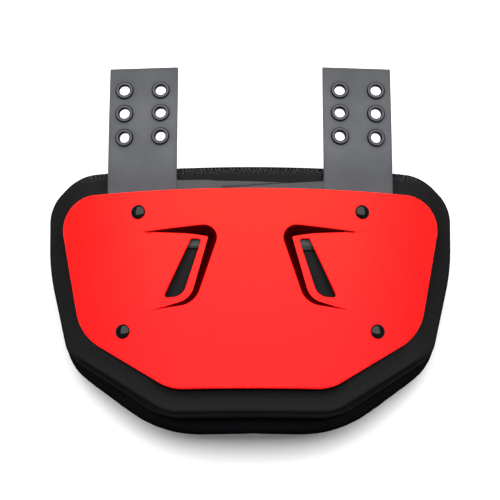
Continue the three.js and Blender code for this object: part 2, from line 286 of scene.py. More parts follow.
@dataclass(frozen=True)
class Outline:
    """A closed counter-clockwise outline with rounded corners; a corner may also turn inwards."""

    corners: tuple[Corner, ...]
    step: float = 2.0

    @classmethod
    def mirrored(cls, half: Sequence[Corner], step: float = 2.0) -> Outline:
        """An outline from its right half, bottom first."""
        twin = [Corner(-c.x, c.y, c.radius) for c in reversed(half)]
        return cls((*half, *twin), step)

    @property
    def lowest(self) -> float:
        """The least y of its corners."""
        return min(corner.y for corner in self.corners)

    @property
    def highest(self) -> float:
        """The greatest y of its corners."""
        return max(corner.y for corner in self.corners)

    def on_side(self, side: Side) -> Outline:
        """This outline, drawn for the right side, as it is on a side."""
        if side is Side.RIGHT:
            return self
        return Outline(tuple(Corner(-c.x, c.y, c.radius) for c in reversed(self.corners)), self.step)

    def arcs(self, inset: float = 0.0) -> list[Array]:
        """The rounded corners as rows of points.

        Args:
            inset: How far the outline is moved inwards.

        Returns:
            One row of points for each corner.
        """
        smallest, fewest = 0.05, 4
        rows = []
        for k, corner in enumerate(self.corners):
            before = self.corners[k - 1]
            after = self.corners[(k + 1) % len(self.corners)]
            here = np.array([corner.x, corner.y])
            into = here - (before.x, before.y)
            out = np.array([after.x, after.y]) - here
            into, out = into / np.linalg.norm(into), out / np.linalg.norm(out)
            turn = math.atan2(into[0] * out[1] - into[1] * out[0], into @ out)
            bend = math.copysign(1.0, turn)
            inwards = np.array([-into[1] - out[1], into[0] + out[0]])
            inwards /= np.linalg.norm(inwards)
            radius = max(corner.radius - bend * inset, smallest)
            centre = here + inwards * (inset + bend * radius) / math.cos(turn / 2)
            start = math.atan2(-into[0], into[1])
            chords = max(fewest, math.ceil(abs(turn) * corner.radius / self.step))
            angles = start + turn * np.linspace(0.0, 1.0, chords + 1)
            rows.append(centre + bend * radius * np.column_stack([np.cos(angles), np.sin(angles)]))
        return rows

    def loop(self, inset: float = 0.0) -> Array:
        """The whole outline as points; every inset has the same number of them, in the same order.

        Args:
            inset: How far the outline is moved inwards.

        Returns:
            The points, one in a row.
        """
        plain, arcs = self.arcs(), self.arcs(inset)
        parts = []
        for k, arc in enumerate(arcs):
            j = (k + 1) % len(arcs)
            parts.append(arc)
            run = float(np.linalg.norm(plain[j][0] - plain[k][-1]))
            count = max(1, math.ceil(run / self.step))
            shares = np.arange(1, count)[:, None] / count
            parts.append(arc[-1] + shares * (arcs[j][0] - arc[-1]))
        return np.vstack(parts)

    def edge_rows(self, radius: float, steps: int, further: Sequence[float]) -> list[Array]:
        """Rows of points along the outline's rounded edge, and some further in.

        Args:
            radius: The edge's radius.
            steps: How many steps its quarter-round has.
            further: Insets of the rows beyond it.

        Returns:
            The rows, without the outline itself.
        """
        return [self.loop(inset) for inset in (*round_insets(radius, steps)[1:], *further)]

    def distance(self, points: Array) -> Array:
        """How far points lie from the outline."""
        return line_distance(points, closed(self.loop()))

    def within(self, points: Array) -> Array:
        """How far points lie inside the outline, negative beyond it."""
        return signed_distance(points, self.loop())


@dataclass(frozen=True)
class Curl:
    """The curl of the whole assembly about the wearer's back, and where its plan lies in the row frame."""

    shift: float
    rise: float
    radius: float = 375.0

    @classmethod
    def of_packed_part(cls, front: float, bottom: float) -> Curl:
        """Finds the plan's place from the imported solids.

        Args:
            front: Height of the shell's front face in plan.
            bottom: The pad's lowest y in plan.

        Returns:
            The curl with its place.
        """
        pad_low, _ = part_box("back_pad")
        _, shell_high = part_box("shell_plate")
        return cls(shift=pad_low.y / MM - bottom, rise=shell_high.z / MM - front)

    def bent(self, points: Array) -> Array:
        """Points of the plan once curled, in millimetres about the plan's own origin."""
        turn = points[:, 0] / self.radius
        reach = self.radius + points[:, 2]
        return np.column_stack([reach * np.sin(turn), points[:, 1], reach * np.cos(turn) - self.radius])

    def unbent(self, points: Array) -> Array:
        """Points of the row frame, in metres, back in plan."""
        x, y, z = (points / MM - (0.0, self.shift, self.rise)).T
        turn = np.arctan2(x, z + self.radius)
        return np.column_stack([turn * self.radius, y, np.hypot(x, z + self.radius) - self.radius])

    def in_row(self, points: Array) -> Array:
        """Curled points in the row frame, in metres."""
        return (points + (0.0, self.shift, self.rise)) * MM

    def place(self, points: Array) -> Array:
        """Points of the plan curled and put in the row frame, in metres."""
        return self.in_row(self.bent(points))


@dataclass
class Sheet:
    """A flat sheet of triangles, and the indices of the points on its rims, the outer rim first."""

    points: Array
    triangles: Array
    rims: list[Array]

    @classmethod
    def cut(cls, rims: Sequence[Array], lines: Sequence[Array], fill: Array) -> Sheet:
        """Cuts a sheet from its rims.

        Args:
            rims: Closed loops of points: the outer one and then the holes.
            lines: Further rows of points that the triangles follow.
            fill: Points that fill the rest.

        Returns:
            The sheet.
        """
        rows = [*rims, *lines, fill]
        starts = np.cumsum([0, *(len(row) for row in rows)])
        edges = []
        for start, rim in zip(starts, rims):
            count = len(rim)
            edges += [(int(start + k), int(start + (k + 1) % count)) for k in range(count)]
        flat = [Vector((float(x), float(y))) for x, y in np.vstack(rows)]
        verts, _, faces, origins, _, _ = delaunay_2d_cdt(flat, edges, [], 0, WELD)
        points = np.array([(v.x, v.y) for v in verts])
        triangles = np.array([face for face in faces if len(face) == 3])
        middle = points[triangles].mean(axis=1)
        keep = inside(middle, rims[0])
        for hole in rims[1:]:
            keep &= ~inside(middle, hole)
        found = {origin: k for k, group in enumerate(origins) for origin in group}
        loops = [
            np.array([found[int(start + k)] for k in range(len(rim))]) for start, rim in zip(starts, rims)
        ]
        return cls(points, triangles[keep], loops)

    def solid(
        self,
        name: str,
        top: Height,
        bottom: Height,
        place: Place,
        skirt: Sequence[Array] = (),
        marks: dict[str, Height] | None = None,
    ) -> bpy.types.Object:
        """Gives the sheet its thickness.

        Args:
            name: Name of the piece.
            top: Height of the upper face over points of the plan.
            bottom: Height of the lower face.
            place: Where points of the plan lie in the row frame.
            skirt: Rings of points, as long as the outer rim, between the upper and the lower face.
            marks: Named values over the plan, kept on the mesh for its finish.

        Returns:
            The piece, a closed body.
        """
        count = len(self.points)
        rows = [np.column_stack([self.points, face(self.points)]) for face in (top, bottom)]
        faces = [*self.triangles.tolist(), *(self.triangles[:, ::-1] + count).tolist()]
        used = 2 * count
        for k, rim in enumerate(self.rims):
            rings = [rim]
            for ring in skirt if k == 0 else ():
                rows.append(ring)
                rings.append(used + np.arange(len(ring)))
                used += len(ring)
            rings.append(rim + count)
            for upper, lower in zip(rings, rings[1:]):
                quads = np.column_stack([lower, np.roll(lower, -1), np.roll(upper, -1), upper])
                faces += quads.tolist()
        plan = np.vstack(rows)
        mesh = bpy.data.meshes.new(name)
        mesh.from_pydata(place(plan).tolist(), [], faces)
        for mark, height in (marks or {}).items():
            keep_mark(mesh, mark, height(plan[:, :2]))
        return closed_piece(name, mesh)


def linked(name: str, data: bpy.types.ID) -> bpy.types.Object:
    """Links a new object that holds a mesh, a light or a camera."""
    item = bpy.data.objects.new(name, data)
    bpy.context.scene.collection.objects.link(item)
    return item


def closed_piece(name: str, mesh: bpy.types.Mesh, merge: float = 0.0) -> bpy.types.Object:
    """Links a mesh as a piece whose faces point outwards and shade smoothly.

    Args:
        name: Name of the piece.
        mesh: Its mesh, in the row frame.
        merge: Points closer than this are made one.

    Returns:
        The piece.
    """
    body = bmesh.new()
    body.from_mesh(mesh)
    if merge:
        bmesh.ops.remove_doubles(body, verts=body.verts, dist=merge)
    bmesh.ops.delete(body, geom=[v for v in body.verts if not v.link_faces], context="VERTS")
    bmesh.ops.recalc_face_normals(body, faces=body.faces)
    for face in body.faces:
        face.smooth = True
    body.to_mesh(mesh)
    body.free()
    mesh.set_sharp_from_angle(angle=SHARP)
    mesh.name = name
    return linked(name, mesh)


def shown_mesh(item: bpy.types.Object) -> bpy.types.Mesh:
    """A plain mesh of what an object shows with its modifiers."""
    depsgraph = bpy.context.evaluated_depsgraph_get()
    return bpy.data.meshes.new_from_object(item.evaluated_get(depsgraph))


def apply_modifiers(piece: bpy.types.Object) -> None:
    """Makes what the modifiers of a piece show its own mesh, and removes them."""
    mesh = shown_mesh(piece)
    piece.modifiers.clear()
    old, piece.data = piece.data, mesh
    bpy.data.meshes.remove(old)
    mesh.name = piece.name


def positions(mesh: bpy.types.Mesh) -> Array:
    """The points of a mesh, one in a row."""
    flat = np.zeros(len(mesh.vertices) * 3, np.float32)
    mesh.vertices.foreach_get("co", flat)
    return flat.reshape(-1, 3).astype(float)


def keep_mark(mesh: bpy.types.Mesh, name: str, values: Array) -> None:
    """Keeps a value, or a row of three, for each point of a mesh under a name."""
    kind, slot = ("FLOAT", "value") if values.ndim == 1 else ("FLOAT_VECTOR", "vector")
    mesh.attributes.new(name, kind, "POINT").data.foreach_set(slot, values.astype(np.float32).ravel())


def keep_weave(mesh: bpy.types.Mesh, plan: Array, drape: float = 0.7, least: float = 0.2) -> None:
    """Keeps places along and across a cloth's slanting threads, which run on down the sides.

    Args:
        mesh: The cloth's mesh.
        plan: Its points in the plan frame.
        drape: How far the threads run on for each step down a side.
        least: The least slant that a thread on the underside is taken to have.
    """
    facing = np.empty(3 * len(mesh.vertices), np.float32)
    mesh.vertex_normals.foreach_get("vector", facing)
    facing = facing.reshape(-1, 3)
    level = np.hypot(facing[:, 0], facing[:, 1])
    outwards = facing[:, :2] / np.where(facing[:, 2] > 0.0, 1.0, np.maximum(level, least))[:, None]
    x, y = (plan[:, :2] + drape * outwards * (plan[:, 2].max() - plan[:, 2:])).T
    keep_mark(mesh, "weave", np.column_stack([x - y, x + y, np.zeros_like(x)]) * math.sqrt(0.5) * MM)


def declared(piece: bpy.types.Object, slot: Slot, *nodes: str) -> bpy.types.Object:
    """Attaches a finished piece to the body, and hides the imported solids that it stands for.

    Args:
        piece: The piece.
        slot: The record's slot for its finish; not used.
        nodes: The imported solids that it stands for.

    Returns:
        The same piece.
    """
    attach(piece, BODY)
    if nodes:
        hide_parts(*nodes)
    return piece


def move_points(mesh: bpy.types.Mesh, points: Array) -> None:
    """Puts the points of a mesh at new places."""
    mesh.vertices.foreach_set("co", points.astype(np.float32).ravel())
    mesh.update()


class NodeGraph:
    """A node tree that is filled from code."""

    def __init__(self, tree: bpy.types.NodeTree) -> None:
        """Takes an empty node tree."""
        self.tree = tree

    def node(
        self,
        kind: str,
        settings: dict[str, object] | None = None,
        sockets: dict[str | int, object] | None = None,
    ) -> bpy.types.Node:
        """Adds a node.

        Args:
            kind: The node's type.
            settings: Its settings, which are set first.
            sockets: Values or links of its input sockets, by name or number.

        Returns:
            The node.
        """
        node = self.tree.nodes.new(kind)
        for name, value in (settings or {}).items():
            setattr(node, name, value)
        for key, value in (sockets or {}).items():
            if isinstance(value, Signal):
                value = value.socket
            if isinstance(value, bpy.types.NodeSocket):
                self.tree.links.new(value, node.inputs[key])
            else:
                node.inputs[key].default_value = value
        return node


class Signal:
    """A socket that carries a number, so that shader maths can be written as sums."""

    def __init__(self, graph: NodeGraph, socket: bpy.types.NodeSocket) -> None:
        """Wraps a socket of a graph."""
        self.graph = graph
        self.socket = socket

    def _maths(self, operation: str, *terms: Signal | float) -> Signal:
        """Adds a Math node on the terms."""
        node = self.graph.node("ShaderNodeMath", {"operation": operation}, dict(enumerate(terms)))
        return Signal(self.graph, node.outputs[0])

    def __add__(self, other: Signal | float) -> Signal:
        """Sum."""
        return self._maths("ADD", self, other)

    def __radd__(self, other: float) -> Signal:
        """Sum with a number on the left."""
        return self._maths("ADD", other, self)

    def __sub__(self, other: Signal | float) -> Signal:
        """Difference."""
        return self._maths("SUBTRACT", self, other)

    def __rsub__(self, other: float) -> Signal:
        """Difference from a number."""
        return self._maths("SUBTRACT", other, self)

    def __mul__(self, other: Signal | float) -> Signal:
        """Product."""
        return self._maths("MULTIPLY", self, other)

    def __rmul__(self, other: float) -> Signal:
        """Product with a number on the left."""
        return self._maths("MULTIPLY", other, self)

    def step(self, low: float, high: float) -> Signal:
        """A smooth step that is 0 at low and 1 at high."""
        node = self.graph.node(
            "ShaderNodeMapRange",
            {"interpolation_type": "SMOOTHSTEP"},
            {"Value": self, "From Min": low, "From Max": high},
        )
        return Signal(self.graph, node.outputs["Result"])


class FinishGraph(NodeGraph):
    """The nodes of one material."""

    # Numbers of the Mix node's sockets that carry colours
    MIX_SHARE, MIX_FIRST, MIX_SECOND = 0, 6, 7
    MIX_RESULT = 2

    def __init__(self, name: str) -> None:
        """Starts a material with that name."""
        self.material = bpy.data.materials.new(name)
        self.material.use_nodes = True
        super().__init__(self.material.node_tree)
        self.tree.nodes.clear()
        self.where = self.node("ShaderNodeTexCoord").outputs["Object"]

    def stretched(self, scale: tuple[float, float, float]) -> bpy.types.NodeSocket:
        """Object coordinates scaled along each axis."""
        return self.node("ShaderNodeMapping", None, {"Vector": self.where, "Scale": scale}).outputs["Vector"]

    def noise(
        self,
        pitch: float,
        detail: float = 2.0,
        where: bpy.types.NodeSocket | None = None,
    ) -> Signal:
        """Soft noise.

        Args:
            pitch: Size of its blotches in millimetres.
            detail: Octaves of finer noise on them.
            where: Coordinates to use instead of the plain object's.

        Returns:
            The noise, about 0 to 1.
        """
        sockets = {"Vector": where or self.where, "Scale": 1.0 / (pitch * MM), "Detail": detail}
        return Signal(self, self.node("ShaderNodeTexNoise", None, sockets).outputs["Fac"])

    def cells(self, pitch: float, jitter: float) -> Signal:
        """The distance to the nearest of many points, which lie a pitch apart in millimetres."""
        sockets = {"Vector": self.where, "Scale": 1.0 / (pitch * MM), "Randomness": jitter}
        return Signal(self, self.node("ShaderNodeTexVoronoi", None, sockets).outputs["Distance"])

    def eyes(self, pitch: float, jitter: float) -> Signal:
        """The distance to the nearest eye of a mesh that follows the cloth's threads."""
        threads = self.node("ShaderNodeAttribute", {"attribute_name": "weave"}).outputs["Vector"]
        sockets = {"Vector": threads, "Scale": 1.0 / (pitch * MM), "Randomness": jitter}
        node = self.node("ShaderNodeTexVoronoi", {"voronoi_dimensions": "2D"}, sockets)
        return Signal(self, node.outputs["Distance"])

    def mark(self, name: str) -> Signal:
        """A named value that is kept on the mesh."""
        return Signal(self, self.node("ShaderNodeAttribute", {"attribute_name": name}).outputs["Fac"])

    def mix(
        self,
        share: Signal,
        first: Colour | bpy.types.NodeSocket,
        second: Colour | bpy.types.NodeSocket,
    ) -> bpy.types.NodeSocket:
        """A colour between two others."""
        sockets = {self.MIX_SHARE: share, self.MIX_FIRST: first, self.MIX_SECOND: second}
        return self.node("ShaderNodeMix", {"data_type": "RGBA"}, sockets).outputs[self.MIX_RESULT]

    def bump(self, height: Signal, depth: float, strength: float = 1.0) -> bpy.types.NodeSocket:
        """A normal that follows a height, which stands for a depth in millimetres."""
        sockets = {"Height": height, "Distance": depth * MM, "Strength": strength}
        return self.node("ShaderNodeBump", None, sockets).outputs["Normal"]

    def shader(
        self,
        colour: Colour | bpy.types.NodeSocket,
        roughness: Signal | float,
        shine: float,
        normal: bpy.types.NodeSocket | None = None,
        metal: Signal | float = 0.0,
    ) -> bpy.types.NodeSocket:
        """A surface shader.

        Args:
            colour: Its colour.
            roughness: How rough it is, 0 to 1.
            shine: How strongly it mirrors; 0.5 is common for plastics.
            normal: The normal of its texture, if it has any.
            metal: How far it is bare metal, 0 to 1.

        Returns:
            The shader.
        """
        sockets = {
            "Base Color": colour,
            "Roughness": roughness,
            "Specular IOR Level": shine,
            "Metallic": metal,
        }
        if normal is not None:
            sockets["Normal"] = normal
        return self.node("ShaderNodeBsdfPrincipled", None, sockets).outputs["BSDF"]

    def passing(
        self,
        share: Signal,
        first: bpy.types.NodeSocket,
        second: bpy.types.NodeSocket,
    ) -> bpy.types.NodeSocket:
        """One shader that passes into another."""
        return self.node("ShaderNodeMixShader", None, {0: share, 1: first, 2: second}).outputs[0]

    def surfaced(self, shader: bpy.types.NodeSocket) -> bpy.types.Material:
        """Ends the material in a shader."""
        self.node("ShaderNodeOutputMaterial", None, {"Surface": shader})
        return self.material


@dataclass(frozen=True)
class SatinPlastic:
    """The shell's satin plastic: a fine moulded texture, wear at its rims, a painted highlight towards the
    top, and matt vent walls with dark painted shade, darkest where deepest.
    """

    colour: Colour = srgb("fb090d")
    faded: Colour = srgb("fc1f10")
    worn: Colour = srgb("ff5a4c")
    deep: Colour = srgb("3a0002")
    deepest: Colour = srgb("150002")
    roughness: float = 0.36
    wall_roughness: float = 0.6
    shine: float = 0.09
    drift_pitch: float = 90.0
    peel_pitch: float = 0.9
    rub_pitch: float = 3.0
    rub_stretch: tuple[float, float, float] = (1.0, 0.15, 1.0)
    worn_share: float = 0.15
    peel_depth: float = 0.02
    fade_drift: float = 0.2
    deep_drift: float = 0.3
    worn_edge: Span = (0.5, 0.7)
    scuff_edge: Span = (0.62, 0.72)
    # What the textures add to the roughness
    drift_matt: float = 0.08
    rim_matt: float = 0.12
    scuff_matt: float = 0.06
    wall_matt: float = 0.1

    def material(self) -> bpy.types.Material:
        """Builds the material."""
        graph = FinishGraph("satin_plastic")
        drift = graph.noise(self.drift_pitch, detail=1.0)
        peel = graph.noise(self.peel_pitch)
        rub = graph.noise(self.rub_pitch, detail=4.0, where=graph.stretched(self.rub_stretch))
        rim = graph.mark("rim")
        bump = graph.bump(peel, self.peel_depth, strength=0.6)
        # Painted highlight: the colour lighter towards the top, in the middle
        faded = graph.mark("faded") + self.fade_drift * drift - self.fade_drift / 2
        colour = graph.mix(faded, self.colour, self.faded)
        colour = graph.mix(rim * rub.step(*self.worn_edge) * self.worn_share, colour, self.worn)
        roughness = self.roughness + self.drift_matt * drift + self.rim_matt * rim * rub
        roughness += self.scuff_matt * rub.step(*self.scuff_edge)
        face = graph.shader(colour, roughness, self.shine, bump)
        # Painted shade on the vent walls: dark red, darkest where the scoop is deepest
        depth = graph.mark("depth") + self.deep_drift * drift - self.deep_drift / 2
        colour = graph.mix(depth, self.deep, self.deepest)
        wall = graph.shader(colour, self.wall_roughness + self.wall_matt * drift, 0.0, bump)
        return graph.surfaced(graph.passing(graph.mark("wall"), face, wall))


@dataclass(frozen=True)
class FoamSkin:
    """The front foam's thin knitted skin: dense and black, more open where it is stretched over the top,
    with painted shade along the shell, round the rim and at the sides, and painted light beside the shell's
    slanting edges.
    """

    colour: Colour = srgb("0b0b0b")
    thread: Colour = srgb("1c1c1c")
    lint: Colour = srgb("353636")
    # Also the colour of the painted shade at the sides and in the shade shader
    gap: Colour = srgb("030303")
    roughness: float = 0.78
    crease_roughness: float = 0.95
    shine: float = 0.07
    stitch: float = 1.3
    eye: float = 2.0
    drift_pitch: float = 35.0
    fuzz_pitch: float = 0.5
    lint_share: float = 0.2
    open_lint_share: float = 0.6
    dust_share: float = 0.28
    side_share: float = 0.45
    loop_share: float = 0.6
    drift_share: float = 0.3
    loop_edge: Span = (0.25, 0.7)
    eye_edge: Span = (0.34, 0.46)
    lint_edge: Span = (0.68, 0.8)
    loop_matt: float = 0.15
    knit_depth: float = 0.16
    fuzz_height: float = 0.3
    eye_depth: float = 1.5

    def material(self) -> bpy.types.Material:
        """Builds the material."""
        graph = FinishGraph("foam_skin")
        knit = graph.eyes(self.stitch, jitter=0.35)
        drift = graph.noise(self.drift_pitch)
        fuzz = graph.noise(self.fuzz_pitch, detail=3.0)
        eyes = 1.0 - graph.eyes(self.eye, jitter=0.4).step(*self.eye_edge)
        loops = knit.step(*self.loop_edge)
        stretched = graph.mark("stretch")
        colour = graph.mix(loops * self.loop_share + drift * self.drift_share, self.thread, self.colour)
        for share, tint in (
            (fuzz.step(*self.lint_edge) * self.lint_share, self.lint),
            (stretched * (1.0 - eyes) * self.open_lint_share, self.lint),
            (stretched * eyes, self.gap),
            # Painted light beside the shell's slanting edges
            (graph.mark("dust") * self.dust_share, self.lint),
            # Painted shade towards the left and right sides
            (graph.mark("side") * self.side_share, self.gap),
        ):
            colour = graph.mix(share, colour, tint)
        height = 1.0 - knit + self.fuzz_height * fuzz - self.eye_depth * stretched * eyes
        bump = graph.bump(height, self.knit_depth, strength=0.6)
        face = graph.shader(colour, self.roughness + self.loop_matt * loops, self.shine, bump)
        # Painted shade: a dark matt shader where the shade mark lies, along the shell and round the rim
        crease = graph.shader(self.gap, self.crease_roughness, 0.0)
        return graph.surfaced(graph.passing(graph.mark("shade"), face, crease))


@dataclass(frozen=True)
class MeshFabric:
    """The pad's open mesh: black threads round small holes that show the darker foam."""

    thread: Colour = srgb("1a1a1d")
    hole: Colour = srgb("020202")
    roughness: float = 0.82
    pitch: float = 1.7
    fibre_pitch: float = 0.4
    drift_pitch: float = 40.0
    drift_share: float = 0.2
    hole_edge: Span = (0.32, 0.46)
    hole_matt: float = 0.16
    thread_edge: Span = (0.15, 0.6)
    mesh_depth: float = 0.4
    fibre_height: float = 0.15

    def material(self) -> bpy.types.Material:
        """Builds the material."""
        graph = FinishGraph("mesh_fabric")
        net = graph.eyes(self.pitch, jitter=0.15)
        fibre = graph.noise(self.fibre_pitch)
        drift = graph.noise(self.drift_pitch)
        holes = 1.0 - net.step(*self.hole_edge)
        dark = holes + drift * self.drift_share + graph.mark("shade")
        colour = graph.mix(dark, self.thread, self.hole)
        height = net.step(*self.thread_edge) + self.fibre_height * fibre
        bump = graph.bump(height, self.mesh_depth, strength=0.8)
        return graph.surfaced(graph.shader(colour, self.roughness + self.hole_matt * holes, 0.0, bump))


@dataclass(frozen=True)
class StrapSheet:
    """The straps' grey flexible sheet: leathery grain, cloudy, darker at its edges, with painted shade at
    its far end, beside and under the shell and on the arm, and painted shadow.
    """

    colour: Colour = srgb("4e4f53")
    cloud: Colour = srgb("494a4e")
    edge: Colour = srgb("333437")
    covered: Colour = srgb("343536")
    # Also the colour of the painted shadow
    gap: Colour = srgb("080808")
    roughness: float = 0.5
    shine: float = 0.2
    cloud_pitch: float = 22.0
    pore_pitch: float = 0.8
    grain_pitch: float = 0.5
    rim_share: float = 0.5
    seat_share: float = 0.45
    cloud_edge: Span = (0.3, 0.7)
    cloud_matt: float = 0.15
    pore_matt: float = 0.1
    grain_depth: float = 0.05
    grain_height: float = 0.5

    def material(self) -> bpy.types.Material:
        """Builds the material."""
        graph = FinishGraph("strap_sheet")
        drift = graph.noise(self.cloud_pitch)
        pores = graph.cells(self.pore_pitch, jitter=1.0)
        grain = graph.noise(self.grain_pitch, detail=3.0)
        colour = graph.mix(drift.step(*self.cloud_edge), self.colour, self.cloud)
        # Painted shade where the cover mark lies
        colour = graph.mix(graph.mark("cover"), colour, self.covered)
        edge = graph.mark("rim") * self.rim_share + graph.mark("seat") * self.seat_share
        colour = graph.mix(edge, colour, self.edge)
        # Painted shadow in the gap colour
        colour = graph.mix(graph.mark("shade"), colour, self.gap)
        bump = graph.bump(pores + self.grain_height * grain, self.grain_depth, strength=0.6)
        roughness = self.roughness + self.cloud_matt * drift + self.pore_matt * pores
        return graph.surfaced(graph.shader(colour, roughness, self.shine, bump))


@dataclass(frozen=True)
class EyeletMetal:
    """The eyelets' dark lacquered metal, with a painted grey highlight on the crown of the roll."""

    colour: Colour = srgb("050506")
    rubbed: Colour = srgb("46474b")
    bright: Colour = srgb("606165")
    roughness: float = 0.4
    shine: float = 0.06
    metal: float = 0.1
    speck_pitch: float = 0.7
    drift_pitch: float = 4.0
    crown_edge: Span = (0.82, 0.98)
    crown_metal: float = 0.2
    bright_edge: Span = (0.55, 0.75)
    bright_share: float = 0.5
    speck_matt: float = 0.2
    speck_depth: float = 0.02

    def material(self) -> bpy.types.Material:
        """Builds the material."""
        graph = FinishGraph("eyelet_metal")
        speck = graph.noise(self.speck_pitch, detail=3.0)
        drift = graph.noise(self.drift_pitch)
        crown = graph.mark("crown").step(*self.crown_edge)
        bright = speck.step(*self.bright_edge) * self.bright_share
        # Painted highlight: grey on the crown, near black towards the edges of the roll
        colour = graph.mix(crown, self.colour, graph.mix(bright, self.rubbed, self.bright))
        bump = graph.bump(speck, self.speck_depth, strength=0.5)
        metal = self.metal + self.crown_metal * drift * crown
        roughness = self.roughness + self.speck_matt * speck
        return graph.surfaced(graph.shader(colour, roughness, self.shine, bump, metal))


@dataclass(frozen=True)
class RivetPlastic:
    """The rivets' black semi-gloss plastic, dusty on the crown."""

    colour: Colour = srgb("020202")
    dusty: Colour = srgb("060606")
    roughness: float = 0.07
    shine: float = 0.19
    speck_pitch: float = 0.8
    drift_pitch: float = 5.0
    drift_matt: float = 0.06
    dust_least: float = 0.4
    dust_edge: Span = (0.4, 0.7)
    speck_depth: float = 0.004

    def material(self) -> bpy.types.Material:
        """Builds the material."""
        graph = FinishGraph("rivet_plastic")
        speck = graph.noise(self.speck_pitch, detail=3.0)
        drift = graph.noise(self.drift_pitch, detail=1.0)
        specks = self.dust_least + (1.0 - self.dust_least) * speck.step(*self.dust_edge)
        colour = graph.mix(graph.mark("crown") * specks, self.colour, self.dusty)
        bump = graph.bump(speck, self.speck_depth, strength=0.3)
        roughness = self.roughness + self.drift_matt * drift
        return graph.surfaced(graph.shader(colour, roughness, self.shine, bump))


@dataclass(frozen=True)
class PaleFloor:
    """The studio's pale painted floor."""

    colour: Colour = srgb("fbfbfb")
    shade: Colour = srgb("f8f8f8")
    roughness: float = 0.8
    shine: float = 0.1
    drift_pitch: float = 180.0
    drift_matt: float = 0.1

    def material(self) -> bpy.types.Material:
        """Builds the material."""
        graph = FinishGraph("pale_floor")
        drift = graph.noise(self.drift_pitch)
        colour = graph.mix(drift, self.colour, self.shade)
        return graph.surfaced(graph.shader(colour, self.roughness + self.drift_matt * drift, self.shine))


class ShapeGraph(NodeGraph):
    """The nodes of one repeated or swept shape."""

    MERGE = 0.03

    def __init__(self, name: str) -> None:
        """Starts a shape tree with that name."""
        super().__init__(bpy.data.node_groups.new(name, "GeometryNodeTree"))
        sides = self.tree.interface
        sides.new_socket("Geometry", in_out="INPUT", socket_type="NodeSocketGeometry")
        sides.new_socket("Geometry", in_out="OUTPUT", socket_type="NodeSocketGeometry")
        self.entry = self.node("NodeGroupInput")
        self.keys: dict[str, str] = {}

    def size(self, name: str, kind: str = "NodeSocketFloat") -> bpy.types.NodeSocket:
        """Adds a named input, and gives its socket."""
        item = self.tree.interface.new_socket(name, in_out="INPUT", socket_type=kind)
        self.keys[name] = item.identifier
        return self.entry.outputs[name]

    def ended(self, shape: bpy.types.NodeSocket) -> None:
        """Ends the tree: the shape made real, smooth and with its material."""
        real = self.node("GeometryNodeRealizeInstances", None, {"Geometry": shape}).outputs[0]
        smooth = self.node("GeometryNodeSetShadeSmooth", None, {"Geometry": real}).outputs[0]
        material = self.size("Material", "NodeSocketMaterial")
        dressed = self.node("GeometryNodeSetMaterial", None, {"Geometry": smooth, "Material": material})
        self.node("NodeGroupOutput", None, {0: dressed.outputs[0]})

    def made(self, name: str, carrier: bpy.types.Object, sizes: dict[str, object]) -> bpy.types.Object:
        """Runs the tree on a carrier and keeps the result as a plain piece.

        Args:
            name: Name of the piece.
            carrier: The object whose mesh the tree starts from; it is removed.
            sizes: Values of the named inputs.

        Returns:
            The piece.
        """
        modifier = carrier.modifiers.new("shape", "NODES")
        modifier.node_group = self.tree
        for key, value in sizes.items():
            modifier[self.keys[key]] = value
        mesh = shown_mesh(carrier)
        carrier.modifiers.remove(modifier)
        bpy.data.objects.remove(carrier)
        return closed_piece(name, mesh, merge=self.MERGE * MM)


def wire(name: str, points: Array, ring: bool) -> bpy.types.Object:
    """Links points joined by edges.

    Args:
        name: Name of the object.
        points: The points, in metres.
        ring: Whether the last point joins the first.

    Returns:
        The object.
    """
    count = len(points)
    edges = [(k, (k + 1) % count) for k in range(count if ring else count - 1)]
    mesh = bpy.data.meshes.new(name)
    mesh.from_pydata(points.tolist(), edges, [])
    return linked(name, mesh)


@dataclass(frozen=True)
class Seat:
    """Where a small turned piece sits, in metres of the row frame, and the way it faces."""

    centre: Array
    axis: Array

    @classmethod
    def on(cls, place: Place, x: float, y: float, z: float) -> Seat:
        """A seat at a point of a placed sheet, square to it."""
        step = 0.5
        around = [(x, y, z), (x + step, y, z), (x - step, y, z), (x, y + step, z), (x, y - step, z)]
        centre, right, left, up, down = place(np.array(around))
        axis = np.cross(right - left, up - down)
        return cls(centre, axis / np.linalg.norm(axis))


